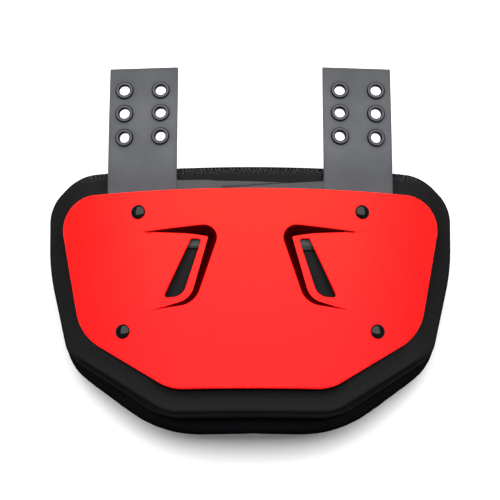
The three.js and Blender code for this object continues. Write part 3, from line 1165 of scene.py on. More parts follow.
class TurnedShape(ShapeGraph):
    """Small turned hardware: a profile spun about an axis and set on seats."""

    CORE = 0.01

    def __init__(self) -> None:
        """Builds the tree."""
        super().__init__("turned_hardware")
        sides = self.size("Sides", "NodeSocketInt")
        core = self.size("Core")
        outline = self.size("Profile", "NodeSocketObject")
        profile = self.node("GeometryNodeObjectInfo", None, {"Object": outline}).outputs["Geometry"]
        profile = self.node("GeometryNodeMeshToCurve", None, {"Mesh": profile}).outputs[0]
        path = self.node("GeometryNodeCurvePrimitiveCircle", None, {"Resolution": sides, "Radius": core})
        curves = {"Curve": path.outputs[0], "Profile Curve": profile}
        spun = self.node("GeometryNodeCurveToMesh", None, curves)
        axis = self.node("GeometryNodeInputNamedAttribute", {"data_type": "FLOAT_VECTOR"}, {"Name": "axis"})
        turn = self.node("FunctionNodeAlignRotationToVector", {"axis": "Z"}, {"Vector": axis.outputs[0]})
        placed = self.node(
            "GeometryNodeInstanceOnPoints",
            None,
            {
                "Points": self.entry.outputs["Geometry"],
                "Instance": spun.outputs[0],
                "Rotation": turn.outputs[0],
            },
        )
        self.ended(placed.outputs[0])

    def turned(
        self,
        name: str,
        seats: Sequence[Seat],
        profile: Array,
        ring: bool,
        sides: int,
        material: bpy.types.Material,
    ) -> bpy.types.Object:
        """Sets one turned shape on every seat.

        Args:
            name: Name of the piece.
            seats: Where the shapes sit.
            profile: Radius and height of the profile's points, in millimetres, and how near each is to the
                crown, 0 to 1.
            ring: Whether the profile is closed; an open one starts and ends on the axis.
            sides: How many sides a turn has.
            material: The finish.

        Returns:
            The piece.
        """
        flat = np.column_stack([profile[:, 0] - self.CORE, -profile[:, 1], np.zeros(len(profile))])
        outline = wire("profile", flat * MM, ring)
        keep_mark(outline.data, "crown", profile[:, 2])
        carrier = wire("seats", np.array([seat.centre for seat in seats]), False)
        keep_mark(carrier.data, "axis", np.array([seat.axis for seat in seats]))
        sizes = {"Sides": sides, "Core": self.CORE * MM, "Profile": outline, "Material": material}
        piece = self.made(name, carrier, sizes)
        bpy.data.objects.remove(outline)
        return piece


class SweptShape(ShapeGraph):
    """A small oval bead swept along a path."""

    def __init__(self) -> None:
        """Builds the tree."""
        super().__init__("swept_bead")
        sides = self.size("Sides", "NodeSocketInt")
        scale = self.size("Half size", "NodeSocketVector")
        path = self.node("GeometryNodeMeshToCurve", None, {"Mesh": self.entry.outputs["Geometry"]})
        path = self.node("GeometryNodeSetCurveNormal", {"mode": "Z_UP"}, {"Curve": path.outputs[0]})
        oval = self.node("GeometryNodeCurvePrimitiveCircle", None, {"Resolution": sides, "Radius": 1.0})
        oval = self.node("GeometryNodeTransform", None, {"Geometry": oval.outputs[0], "Scale": scale})
        curves = {"Curve": path.outputs[0], "Profile Curve": oval.outputs[0]}
        self.ended(self.node("GeometryNodeCurveToMesh", None, curves).outputs[0])


@dataclass(frozen=True)
class Swelling:
    """How a filled cover swells: a remeshed skin under pressure, held where it is glued."""

    voxel: float = 5.0
    pressure: float = 4.0
    frames: int = 20
    cap: float = 8.0
    quality: int = 6
    mass: float = 0.6
    stretch: float = 150.0
    shear: float = 75.0
    bending: float = 20.0

    def swell(self, cover: bpy.types.Object, held: Array) -> None:
        """Swells a cover in place.

        Args:
            cover: The remeshed cover.
            held: How firmly each of its points is held, 0 to 1.
        """
        group = cover.vertex_groups.new(name="held")
        for index in np.flatnonzero(held > 0.0):
            group.add([int(index)], float(held[index]), "REPLACE")
        rest = positions(cover.data)
        cloth = cover.modifiers.new("cloth", "CLOTH")
        settings = cloth.settings
        settings.quality = self.quality
        settings.mass = self.mass
        settings.tension_stiffness = settings.compression_stiffness = self.stretch
        settings.shear_stiffness = self.shear
        settings.bending_stiffness = self.bending
        settings.use_pressure = True
        settings.uniform_pressure_force = self.pressure
        settings.vertex_group_mass = group.name
        settings.effector_weights.gravity = 0.0
        cloth.collision_settings.use_collision = False
        cloth.point_cache.frame_start = 1
        cloth.point_cache.frame_end = self.frames
        scene = bpy.context.scene
        for frame in range(1, self.frames + 1):
            scene.frame_set(frame)
        depsgraph = bpy.context.evaluated_depsgraph_get()
        swollen = positions(cover.evaluated_get(depsgraph).data)
        cover.modifiers.clear()
        cover.vertex_groups.clear()
        scene.frame_set(1)
        move = swollen - rest
        length = np.linalg.norm(move, axis=1)
        move *= np.minimum(1.0, self.cap * MM / np.maximum(length, NO_LENGTH))[:, None]
        LOG.info("%s swelled by up to %.1f mm", cover.name, float(length.max()) / MM)
        move_points(cover.data, rest + move)


@dataclass(frozen=True)
class Vent:
    """A scoop in the shell: flush along its outer side, sinking towards the middle, with a slot through it.

    A wall falls from the scoop's outline to the crease at its foot, and the floor lies inside the crease.
    Both lines are drawn for the right side, foot and head of the outer side first.
    """

    outline: Outline = Outline(
        (
            Corner(69.0, -45.0, 1.0),
            Corner(76.0, 14.6, 1.0),
            Corner(19.5, 19.5, 10.0),
            Corner(39.2, -41.2, 16.0),
        ),
        1.0,
    )
    crease: Outline = Outline(
        (
            Corner(69.0, -45.0, 1.0),
            Corner(76.0, 14.0, 1.0),
            Corner(44.0, 12.6, 110.0),
            Corner(30.6, 10.4, 1.0),
            Corner(42.9, -36.8, 15.0),
        ),
        0.7,
    )
    slot: Outline = Outline(
        (
            Corner(62.6, -36.0, 2.0),
            Corner(43.2, 8.8, 1.5),
            Corner(35.4, 8.8, 2.0),
            Corner(48.6, -35.0, 10.0),
        ),
        1.0,
    )
    floor_slope: float = math.tan(math.radians(7.0))
    rim_round: float = 0.3
    crease_round: float = 0.1
    hinge_round: float = 4.0
    run_out: float = 40.0
    # Where the wall's matt finish and painted shade begin and end
    wall_top: Fade = Fade(-0.1, 0.25)
    wall_foot: Fade = Fade(-0.2, 0.15)
    wall_start: Fade = Fade(0.05, 0.3)
    # Rows of points beside the wall's top and foot
    row_reach: float = 12.0
    rows_above: tuple[float, ...] = (-1.0, -0.5, -0.2)
    rows_down: tuple[float, ...] = (0.1, 0.4, 0.8)
    rows_at_foot: tuple[float, ...] = (-0.5, -0.2, 0.05, 0.3)
    clear_of_foot: float = 0.6
    clear_of_top: float = 1.5
    narrow: Span = (0.1, 2.5)
    narrow_rows: tuple[float, ...] = (0.5, 1.0)

    def wall_line(self, outline: Outline) -> Array:
        """All of an outline but its outer side, with both ends run out straight."""
        foot, head, *rest = outline.arcs()
        line = np.vstack([head[-1:], *rest, foot[:1]])
        ends = []
        for tip, beside in ((line[0], line[1]), (line[-1], line[-2])):
            ends.append(tip + self.run_out * (tip - beside) / np.linalg.norm(tip - beside))
        return resampled(np.vstack([ends[:1], line, ends[1:]]), outline.step)

    def inwards(self, points: Array) -> Array:
        """How far points lie from the outer side, towards the middle."""
        foot, head = (np.array([c.x, c.y]) for c in self.outline.corners[:2])
        along = (head - foot) / np.linalg.norm(head - foot)
        return (points - foot) @ np.array([-along[1], along[0]])

    def floor(self, points: Array) -> Array:
        """How deep the floor would lie at points."""
        return self.floor_slope * soft_positive(self.inwards(points), self.hinge_round)

    def across_wall(self, points: Array) -> tuple[Array, Array]:
        """How far points lie inside the wall's top, and short of its foot."""
        top, foot = (signed_distance(points, self.wall_line(line)) for line in (self.outline, self.crease))
        return top, -foot

    def depth(self, points: Array) -> Array:
        """How deep the scoop is at points."""
        within, beyond = self.across_wall(points)
        fallen = soft_positive(within, self.rim_round)
        left = soft_positive(beyond, self.crease_round)
        return self.floor(points) * fallen / (fallen + left)

    def wall_share(self, points: Array) -> Array:
        """Where the wall shows: 1 on it, 0 on the floor and outside."""
        within, beyond = self.across_wall(points)
        return self.wall_top.at(within) * self.wall_foot.at(beyond) * self.wall_start.at(self.floor(points))

    def rows(self) -> list[Array]:
        """Rows of points along the wall's top and its foot."""
        top, foot = self.wall_line(self.outline), self.wall_line(self.crease)
        top, foot = (line[self.inwards(line) > -self.row_reach] for line in (top, foot))
        rows = [offset(top, distance) for distance in self.rows_above]
        for line, other, distances, clear in (
            (top, foot, self.rows_down, self.clear_of_foot),
            (foot, top, self.rows_at_foot, self.clear_of_top),
        ):
            for row in (offset(line, distance) for distance in distances):
                rows.append(row[line_distance(row, other) > clear])
        apart = line_distance(top, foot)
        least, most = self.narrow
        tips = (apart < most) & (apart > least) & (self.inwards(top) > 0.0)
        return rows + [offset(top, share * apart)[tips] for share in self.narrow_rows]


@dataclass
class Shell:
    """The hard curved plate with its two vents."""

    curl: Curl
    back: float = 6.0
    front: float = 9.0
    rim_round: float = 0.7
    back_round: float = 0.4
    slot_round: float = 0.4
    vent_floor: float = 1.6
    vent_deepest: float = 5.0
    vent_thinning: Fade = Fade(0.2, 2.5)
    # Wear at the rim, and a painted highlight towards the top, in the middle
    worn_reach: float = 1.2
    faded_up: Fade = Fade(-85.0, 70.0)
    faded_across: Fade = Fade(30.0, 130.0, 0.7)
    # Points of the flat sheet
    rim_steps: int = 5
    rim_rows: tuple[float, ...] = (2.0, 3.2)
    slot_rows: tuple[float, ...] = (-0.12, -0.4, -0.9)
    vent_margin: float = 6.0
    vent_filling: Filling = Filling(1.3, 0.7)
    filling: Filling = Filling(4.0, 2.2)
    vent: Vent = Vent()
    finish: SatinPlastic = SatinPlastic()
    outline: Outline = Outline.mirrored(
        (Corner(56.5, -103.1, 34.0), Corner(123.9, -60.9, 42.0), Corner(146.5, 45.8, 24.4)), 1.6
    )

    def both(self, points: Array, value: Height) -> Array:
        """A value of the right vent, taken for whichever half each point is on."""
        return value(np.column_stack([np.abs(points[:, 0]), points[:, 1]]))

    def top(self, points: Array) -> Array:
        """Height of the front face."""
        drop = edge_drop(self.outline.distance(points), self.rim_round)
        drop += edge_drop(self.both(points, self.vent.slot.distance), self.slot_round)
        return self.front - self.both(points, self.vent.depth) - drop

    def bottom(self, points: Array) -> Array:
        """Height of the back face."""
        depth = self.both(points, self.vent.depth)
        thick = self.front - self.back
        thick -= (thick - self.vent_floor) * self.vent_thinning.at(depth)
        return self.front - depth - thick + edge_drop(self.outline.distance(points), self.back_round)

    def sheet(self) -> Sheet:
        """The shell cut flat, with closer points in and round the vents."""
        rim = self.outline.loop()
        slots = [self.vent.slot.on_side(side).loop() for side in Side]
        rows = self.outline.edge_rows(self.rim_round, self.rim_steps, self.rim_rows)
        fine = []
        for side in Side:
            flip = np.array([side.value, 1])
            rows += [row * flip for row in self.vent.rows()]
            rows += [self.vent.slot.on_side(side).loop(inset) for inset in self.slot_rows]
            fine.append(lattice(self.vent.outline.loop(-self.vent_margin), self.vent_filling.pitch) * flip)
        taken = np.vstack([rim, *slots, *rows])
        for points in [thinned(points, taken, self.vent_filling.gap) for points in fine]:
            rows.append(outside(points, slots))
            taken = np.vstack([taken, rows[-1]])
        return Sheet.cut([rim, *slots], rows, self.filling.points(rim, taken))

    def faded(self, points: Array) -> Array:
        """How strong the painted highlight is: most at the top, in the middle."""
        return self.faded_up.at(points[:, 1]) * (1.0 - self.faded_across.at(np.abs(points[:, 0])))

    def build(self) -> list[bpy.types.Object]:
        """Builds the shell and dresses it."""
        marks = {
            "rim": lambda p: np.exp(-self.outline.distance(p) / self.worn_reach),
            # The wall and depth marks carry the painted shade in the vents
            "wall": lambda p: self.both(p, self.vent.wall_share),
            "depth": lambda p: self.both(p, self.vent.depth) / self.vent_deepest,
            "faded": self.faded,
        }
        piece = self.sheet().solid("shell", self.top, self.bottom, self.curl.place, (), marks)
        piece.data.materials.append(self.finish.material())
        return [declared(piece, Slot.SHELL, "shell_plate")]


@dataclass(frozen=True)
class StrapShape:
    """One L-shaped strap: a leg with eyelets and an arm that crosses behind the shell."""

    side: Side
    curl: Curl
    arm_top: float
    arm_slope: float
    arm_end: float
    tucked: bool
    thick: float = 1.5
    width: float = 51.6
    outer: float = 107.0
    top: float = 144.3
    rake: float = 1.8
    flare: float = 2.0
    foot: float = 3.0
    corner: float = 0.8
    crook: float = 1.2
    arm_root: float = 84.0
    edge_round: float = 0.45
    centre: float = 81.4
    # Heights under the shell, and the small step from leg to arm
    under_shell: float = 4.2
    below_vents: float = 0.3
    gap: float = 0.3
    step: float = 0.7
    step_half: float = 0.2
    step_fade: Fade = Fade(22.0, 30.0)
    dip: Fade = Fade(24.0, 17.0)
    tuck: Fade = Fade(-31.0, -23.0)
    # The free stretch beyond the shell
    free_start: float = 48.0
    free_rise: float = 12.0
    free_bow: float = 7.0
    free_round: float = 1.5
    # The eyelets' columns, and their rows with the lean of each
    columns: tuple[float, ...] = (-13.7, 13.7)
    rows: tuple[tuple[float, float], ...] = ((125.1, 0.5), (107.0, 0.0), (88.4, -0.5))
    hole: float = 4.9

    def outline(self) -> Outline:
        """The strap in plan."""
        inner = self.outer - self.width
        slope = math.tan(math.radians(self.arm_slope))
        end = self.side.value * self.arm_end

        def arm_edge(x: float) -> float:
            """The arm's upper edge."""
            return self.arm_top + slope * (x - inner)

        lean = inner - self.inner_edge(arm_edge(inner))
        corners = (
            Corner(self.outer, self.foot, self.corner),
            Corner(self.outer, self.top - self.rake, self.corner),
            Corner(inner, self.top, self.corner),
            Corner(inner - lean, arm_edge(inner - lean), self.crook),
            Corner(end, arm_edge(end), self.corner),
            Corner(end, arm_edge(end) - self.width, self.corner),
            Corner(self.arm_root, arm_edge(self.arm_root) - self.width, self.crook),
        )
        return Outline(corners).on_side(self.side)

    def inner_edge(self, y: float | Array) -> float | Array:
        """Where the leg's inner edge lies, which leans towards the middle at its foot."""
        return self.outer - self.width - self.flare * (self.top - y) / (self.top - self.foot)

    def on_arm(self, points: Array) -> Array:
        """Where the arm is: 1 on it, 0 on the leg."""
        beyond = self.side.value * points[:, 0] - self.inner_edge(points[:, 1])
        return ramp(self.step_half, -self.step_half, beyond)

    def level(self, points: Array) -> Array:
        """Height of the underside over points of the plan."""
        x, y = points[:, 0], points[:, 1]
        dip = (self.under_shell - self.below_vents) * self.dip.at(y)
        tuck = (self.thick + self.gap) * self.tuck.at(x) if self.tucked else 0.0
        return self.under_shell - dip - tuck - self.step * self.on_arm(points) * self.step_fade.at(y)

    def place(self, points: Array) -> Array:
        """Where points of the strap lie: formed under the shell, straightening as it rises beyond it."""
        x, y = points[:, 0], points[:, 1]
        z = points[:, 2] + self.level(points)
        line = self.side.value * self.centre
        formed = self.curl.bent(np.column_stack([x, y, z]))
        centre = self.curl.bent(np.column_stack([np.full_like(x, line), y, np.zeros_like(x)]))
        straight = centre + np.column_stack([x - line, np.zeros_like(x), z])
        free = soft_positive(y - self.free_start, self.free_round) / (self.top - self.free_start)
        share = ramp(0.0, 1.0, free)[:, None]
        where = formed * (1.0 - share) + straight * share
        where[:, 2] += free * (self.free_rise - self.free_bow * free)
        return self.curl.in_row(where)

    def hole_centres(self) -> list[tuple[float, float]]:
        """The eyelets' places in plan, row by row from the top."""
        sign = self.side.value
        return [(sign * (self.centre + lean) + x, y) for y, lean in self.rows for x in self.columns]

    def seats(self) -> list[Seat]:
        """Where the eyelets sit."""
        return [Seat.on(self.place, x, y, self.thick / 2) for x, y in self.hole_centres()]


@dataclass
class Straps:
    """The two straps and their eyelets."""

    curl: Curl
    hardware: TurnedShape
    finish: StrapSheet = StrapSheet()
    eyelet_finish: EyeletMetal = EyeletMetal()
    # One eyelet
    bore: float = 3.9
    tube: float = 4.6
    flange: float = 6.8
    rise: float = 1.25
    lift: float = 0.3
    fullness: float = 0.7
    roll_steps: int = 16
    sides: int = 40
    # Points of the flat sheets
    hole_sides: int = 32
    hole_row: float = 1.4
    edge_steps: int = 4
    rim_rows: tuple[float, ...] = (1.2, 2.4)
    step_rows: tuple[float, ...] = (-0.25, 0.25)
    step_pitch: float = 1.5
    step_ends: tuple[float, float] = (2.0, 1.0)
    over_pitch: float = 1.5
    over_rows: float = 1.0
    over_clear: float = 1.5
    filling: Filling = Filling(2.8, 1.6)
    # Wear, painted shade and painted shadow
    worn_reach: float = 1.2
    near_eyelet: Fade = Fade(10.5, 6.5)
    far_end: Fade = Fade(105.0, 142.0, 0.5)
    beside_shell: Fade = Fade(80.0, 50.0, 0.45)
    along_arm: Fade = Fade(70.0, 60.0, 0.25)
    beneath_shell: Fade = Fade(46.0, 36.0, 0.45)
    slot_shade: tuple[Fade, Fade] = (Fade(7.9, 9.0), Fade(24.0, 16.0))
    foot_cut: Fade = Fade(1.1, 0.4, 0.9)
    over_shade: Fade = Fade(2.0, 0.7, 0.9)

    def shapes(self) -> list[StrapShape]:
        """The left strap and the right one, whose arm lies over the left one's."""
        return [
            StrapShape(Side.LEFT, self.curl, arm_top=54.1, arm_slope=1.6, arm_end=38.0, tucked=True),
            StrapShape(Side.RIGHT, self.curl, arm_top=53.3, arm_slope=4.9, arm_end=-20.0, tucked=False),
        ]

    def sheet(self, shape: StrapShape, over: Array) -> Sheet:
        """One strap cut flat.

        Args:
            shape: Its shape.
            over: The rim of the other strap, whose edge shows on this one where it is tucked under.

        Returns:
            The sheet.
        """
        outline = shape.outline()
        rim = outline.loop()
        turn = np.linspace(0.0, 2 * math.pi, self.hole_sides + 1)[:-1]
        circle = np.column_stack([np.cos(turn), np.sin(turn)])
        holes = [circle * shape.hole + centre for centre in shape.hole_centres()]
        rows = outline.edge_rows(shape.edge_round, self.edge_steps, self.rim_rows)
        rows += [circle * (shape.hole + self.hole_row) + centre for centre in shape.hole_centres()]
        low, high = self.step_ends
        heights = np.arange(shape.foot + low, shape.arm_top - high, self.step_pitch)
        for beside in self.step_rows:
            rows.append(np.column_stack([shape.side.value * (shape.inner_edge(heights) + beside), heights]))
        if shape.tucked:
            edges = (over, offset(over, -self.over_rows))
            rows += [row[outline.within(row) > self.over_clear] for row in edges]
        fill = self.filling.points(rim, np.vstack([rim, *holes, *rows]))
        return Sheet.cut([rim, *holes], rows, outside(fill, holes))

    def marks(self, shape: StrapShape, over: Array) -> dict[str, Height]:
        """What the finish reads of one strap.

        Args:
            shape: Its shape.
            over: The rim of the other strap, which shades this one where it is tucked under.

        Returns:
            Named values over the plan.
        """
        outline = shape.outline()

        def seat(points: Array) -> Array:
            """Nearness to an eyelet."""
            away = [np.hypot(*(points - centre).T) for centre in shape.hole_centres()]
            return self.near_eyelet.at(np.min(away, axis=0))

        def cover(points: Array) -> Array:
            """Painted shade on the sheet: at its far end, beside and under the shell, and on the arm."""
            y = points[:, 1]
            arm = shape.on_arm(points) * self.along_arm.at(y)
            return self.far_end.at(y) + self.beside_shell.at(y) + arm + self.beneath_shell.at(y)

        def shade(points: Array) -> Array:
            """Painted shadow under the shell's slots, beside the other strap, and along the foot."""
            y = points[:, 1]
            below, above = self.slot_shade
            dark = below.at(y) * above.at(y) + self.foot_cut.at(y - shape.foot)
            if not shape.tucked:
                return dark
            return np.maximum(dark, self.over_shade.at(line_distance(points, closed(over))))

        return {
            "rim": lambda p: np.exp(-outline.distance(p) / self.worn_reach),
            "seat": seat,
            "cover": cover,
            "shade": shade,
        }

    def strap(self, shape: StrapShape, over: Array, material: bpy.types.Material) -> bpy.types.Object:
        """Builds one strap.

        Args:
            shape: Its shape.
            over: The rim of the other strap.
            material: Its finish.

        Returns:
            The piece.
        """
        outline = shape.outline()

        def drop(points: Array) -> Array:
            """How far the rounded rim falls away."""
            return edge_drop(outline.distance(points), shape.edge_round)

        def top(points: Array) -> Array:
            """Height of the front face over the underside's level."""
            return shape.thick - drop(points)

        name = f"strap_{shape.side.label}"
        sheet, marks = self.sheet(shape, over), self.marks(shape, over)
        piece = sheet.solid(f"{name}_sheet", top, drop, shape.place, (), marks)
        piece.data.materials.append(material)
        return declared(piece, Slot.STRAP, name)

    def eyelet_profile(self, thick: float) -> Array:
        """Radius, height and crown round one eyelet: a tube with a rolled flange at each end."""
        seat = thick / 2 + self.lift
        turns = np.radians(np.linspace(0.0, 180.0, self.roll_steps))
        across, up = np.cos(turns), np.sin(turns)
        half = (self.flange - self.bore) / 2
        radius = (self.flange + self.bore) / 2 + half * np.sign(across) * np.abs(across) ** self.fullness
        roll = np.column_stack([radius, seat + self.rise * up**self.fullness, up])
        back = roll[::-1] * (1.0, -1.0, 1.0)
        return np.vstack([roll, back, [[self.tube, -seat, 0.0], [self.tube, seat, 0.0]]])

    def build(self) -> list[bpy.types.Object]:
        """Builds the straps and their eyelets, and dresses them."""
        material = self.finish.material()
        shapes = self.shapes()
        rims = [resampled(closed(shape.outline().loop()), self.over_pitch)[:-1] for shape in shapes]
        pieces = [self.strap(shape, over, material) for shape, over in zip(shapes, rims[::-1])]
        metal = self.eyelet_finish.material()
        for shape in shapes:
            name = f"eyelets_{shape.side.label}"
            profile = self.eyelet_profile(shape.thick)
            seats = shape.seats()
            nodes = [f"eyelet_{shape.side.label}_{k}" for k in range(1, len(seats) + 1)]
            piece = self.hardware.turned(name, seats, profile, True, self.sides, metal)
            pieces.append(declared(piece, Slot.EYELET, *nodes))
        return pieces


@dataclass
class Foam:
    """The moulded front layer: a flat border with a rolled edge, a rim under the shell, and a thin lip."""

    curl: Curl
    shell: Shell
    straps: Sequence[StrapShape]
    bead: SweptShape
    finish: FoamSkin = FoamSkin()
    back: float = -12.0
    roll: float = 5.0
    # The rim that rises to carry the shell: its distance inside the shell's edge, and its height
    rim_foot: tuple[float, float] = (-5.5, -1.0)
    rim_head: tuple[float, float] = (2.5, 5.7)
    rim_width: Span = (9.0, 12.0)
    rim_sink: float = 0.5
    rim_blend: float = 0.25
    rim_skirt: float = 1.5
    face_sink: float = 0.05
    # The channels that the straps lie in
    channel: float = 0.8
    channel_bank: Fade = Fade(0.0, 1.5, 8.0)
    # Points of the flat sheet, and the insets and heights of its wall
    roll_steps: int = 7
    roll_rows: tuple[float, ...] = (6.5, 8.5)
    shell_rows: tuple[float, ...] = (-7.0, -5.5, -4.5, -3.0, -1.5, 0.0, 2.5)
    filling: Filling = Filling(2.6, 1.5)
    wall: tuple[tuple[float, float], ...] = ((0.0, -7.5), (0.0, -9.8), (-0.5, -10.6))
    # Stretch, painted shadow and shade, and painted light beside the shell
    stretched: Fade = Fade(58.6, 61.0)
    shell_shade: Fade = Fade(2.0, 0.4)
    shaded_side: Fade = Fade(115.0, 150.0)
    waist_tuck: Fade = Fade(3.9, 1.9)
    waist_edge: Fade = Fade(1.2, 0.5, 0.2)
    waist_start: Fade = Fade(-66.0, -82.0)
    waist_depth: float = 0.82
    side_tuck: Fade = Fade(3.0, 0.0, 0.3)
    side_start: Fade = Fade(45.0, 5.0)
    dust_across: Fade = Fade(62.0, 80.0)
    dust_down: Fade = Fade(-45.0, -62.0)
    dust_reach: Fade = Fade(8.0, 0.5)
    # The lip
    lip_reach: float = 2.0
    lip_thick: float = 1.6
    lip_overlap: float = 0.3
    lip_hidden: float = 3.5
    lip_waist: Fade = Fade(75.0, 55.0)
    lip_sides: int = 14
    outline: Outline = Outline.mirrored(
        (
            Corner(61.5, -120.8, 36.0),
            Corner(138.6, -72.5, 20.0),
            Corner(156.6, -6.1, 150.0),
            Corner(158.3, 43.9, 27.0),
            Corner(133.8, 65.3, 36.8),
        ),
        2.0,
    )

    def top(self, points: Array) -> Array:
        """Height of the front face."""
        face = -edge_drop(self.outline.distance(points), self.roll)
        under = self.shell.outline.within(points)
        (foot_at, foot), (head_at, head) = self.rim_foot, self.rim_head
        rim = foot + (head - foot) * np.clip((under - foot_at) / (head_at - foot_at), 0.0, 1.0)
        rim -= (head + self.rim_sink) * ramp(*self.rim_width, under)
        height = face + soft_positive(rim - face, self.rim_blend) - self.face_sink
        height = np.where(rim - face < -self.rim_skirt, face, height)
        for strap in self.straps:
            beyond = -strap.outline().within(points)
            room = strap.level(points) - strap.gap + self.channel_bank.at(beyond - self.channel)
            height = np.minimum(height, room)
        return height

    def tucked(self, points: Array) -> Array:
        """Painted shade near the rim, where the skin turns in against the pad, deepest round the waist and a
        little less at the very rim.
        """
        from_rim = self.outline.distance(points)
        waist = self.waist_tuck.at(from_rim) * self.waist_start.at(points[:, 1])
        waist *= self.waist_depth - self.waist_edge.at(from_rim)
        return np.maximum(waist, self.side_tuck.at(from_rim) * self.side_start.at(points[:, 1]))

    def shade(self, points: Array) -> Array:
        """Where the skin lies in shadow: along the shell and where it turns in."""
        return np.maximum(self.shell_shade.at(self.shell.outline.distance(points)), self.tucked(points))

    def dust(self, points: Array) -> Array:
        """Painted light on the skin along the shell's slanting edges, lifting the shadow that the shell
        casts there.
        """
        slant = self.dust_across.at(np.abs(points[:, 0])) * self.dust_down.at(points[:, 1])
        return slant * self.dust_reach.at(self.shell.outline.distance(points))

    def sheet(self) -> Sheet:
        """The foam's face cut flat."""
        rim = self.outline.loop()
        rows = self.outline.edge_rows(self.roll, self.roll_steps, self.roll_rows)
        rows += [self.shell.outline.loop(inset) for inset in self.shell_rows]
        return Sheet.cut([rim], rows, self.filling.points(rim, np.vstack([rim, *rows])))

    def face(self, material: bpy.types.Material) -> bpy.types.Object:
        """Builds the foam itself."""
        wall = (*self.wall, (self.wall[-1][0], self.back))
        rings = [at_height(self.outline.loop(inset), z) for inset, z in wall]
        marks = {
            "stretch": lambda p: self.stretched.at(p[:, 1]),
            "shade": self.shade,
            # painted shade towards the left and right sides
            "side": lambda p: self.shaded_side.at(np.abs(p[:, 0])),
            "dust": self.dust,
        }
        back = flat_face(self.back)
        face = self.sheet().solid("foam_face", self.top, back, self.curl.place, rings, marks)
        face.data.materials.append(material)
        keep_weave(face.data, self.curl.unbent(positions(face.data)))
        return face

    def lip(self, material: bpy.types.Material) -> bpy.types.Object:
        """Builds the lip, which draws back out of sight at the waist."""
        reach = self.lip_reach / 2
        path, hidden = (
            self.outline.loop(self.lip_overlap - reach + inset) for inset in (0.0, self.lip_hidden)
        )
        waist = self.lip_waist.at(np.abs(path[:, 0])) * (path[:, 1] < 0.0)
        path += (hidden - path) * waist[:, None]
        thick = self.lip_thick / 2
        carrier = wire("lip_path", self.curl.place(at_height(path, self.back + thick)), True)
        half = ((self.lip_overlap + reach) * MM, thick * MM, 1.0)
        sizes = {"Sides": self.lip_sides, "Half size": half, "Material": material}
        return self.bead.made("foam_lip", carrier, sizes)

    def build(self) -> list[bpy.types.Object]:
        """Builds the foam and its lip, and dresses them."""
        material = self.finish.material()
        face = declared(self.face(material), Slot.FOAM, "front_foam")
        lip = declared(self.lip(material), Slot.FOAM)
        return [face, lip]


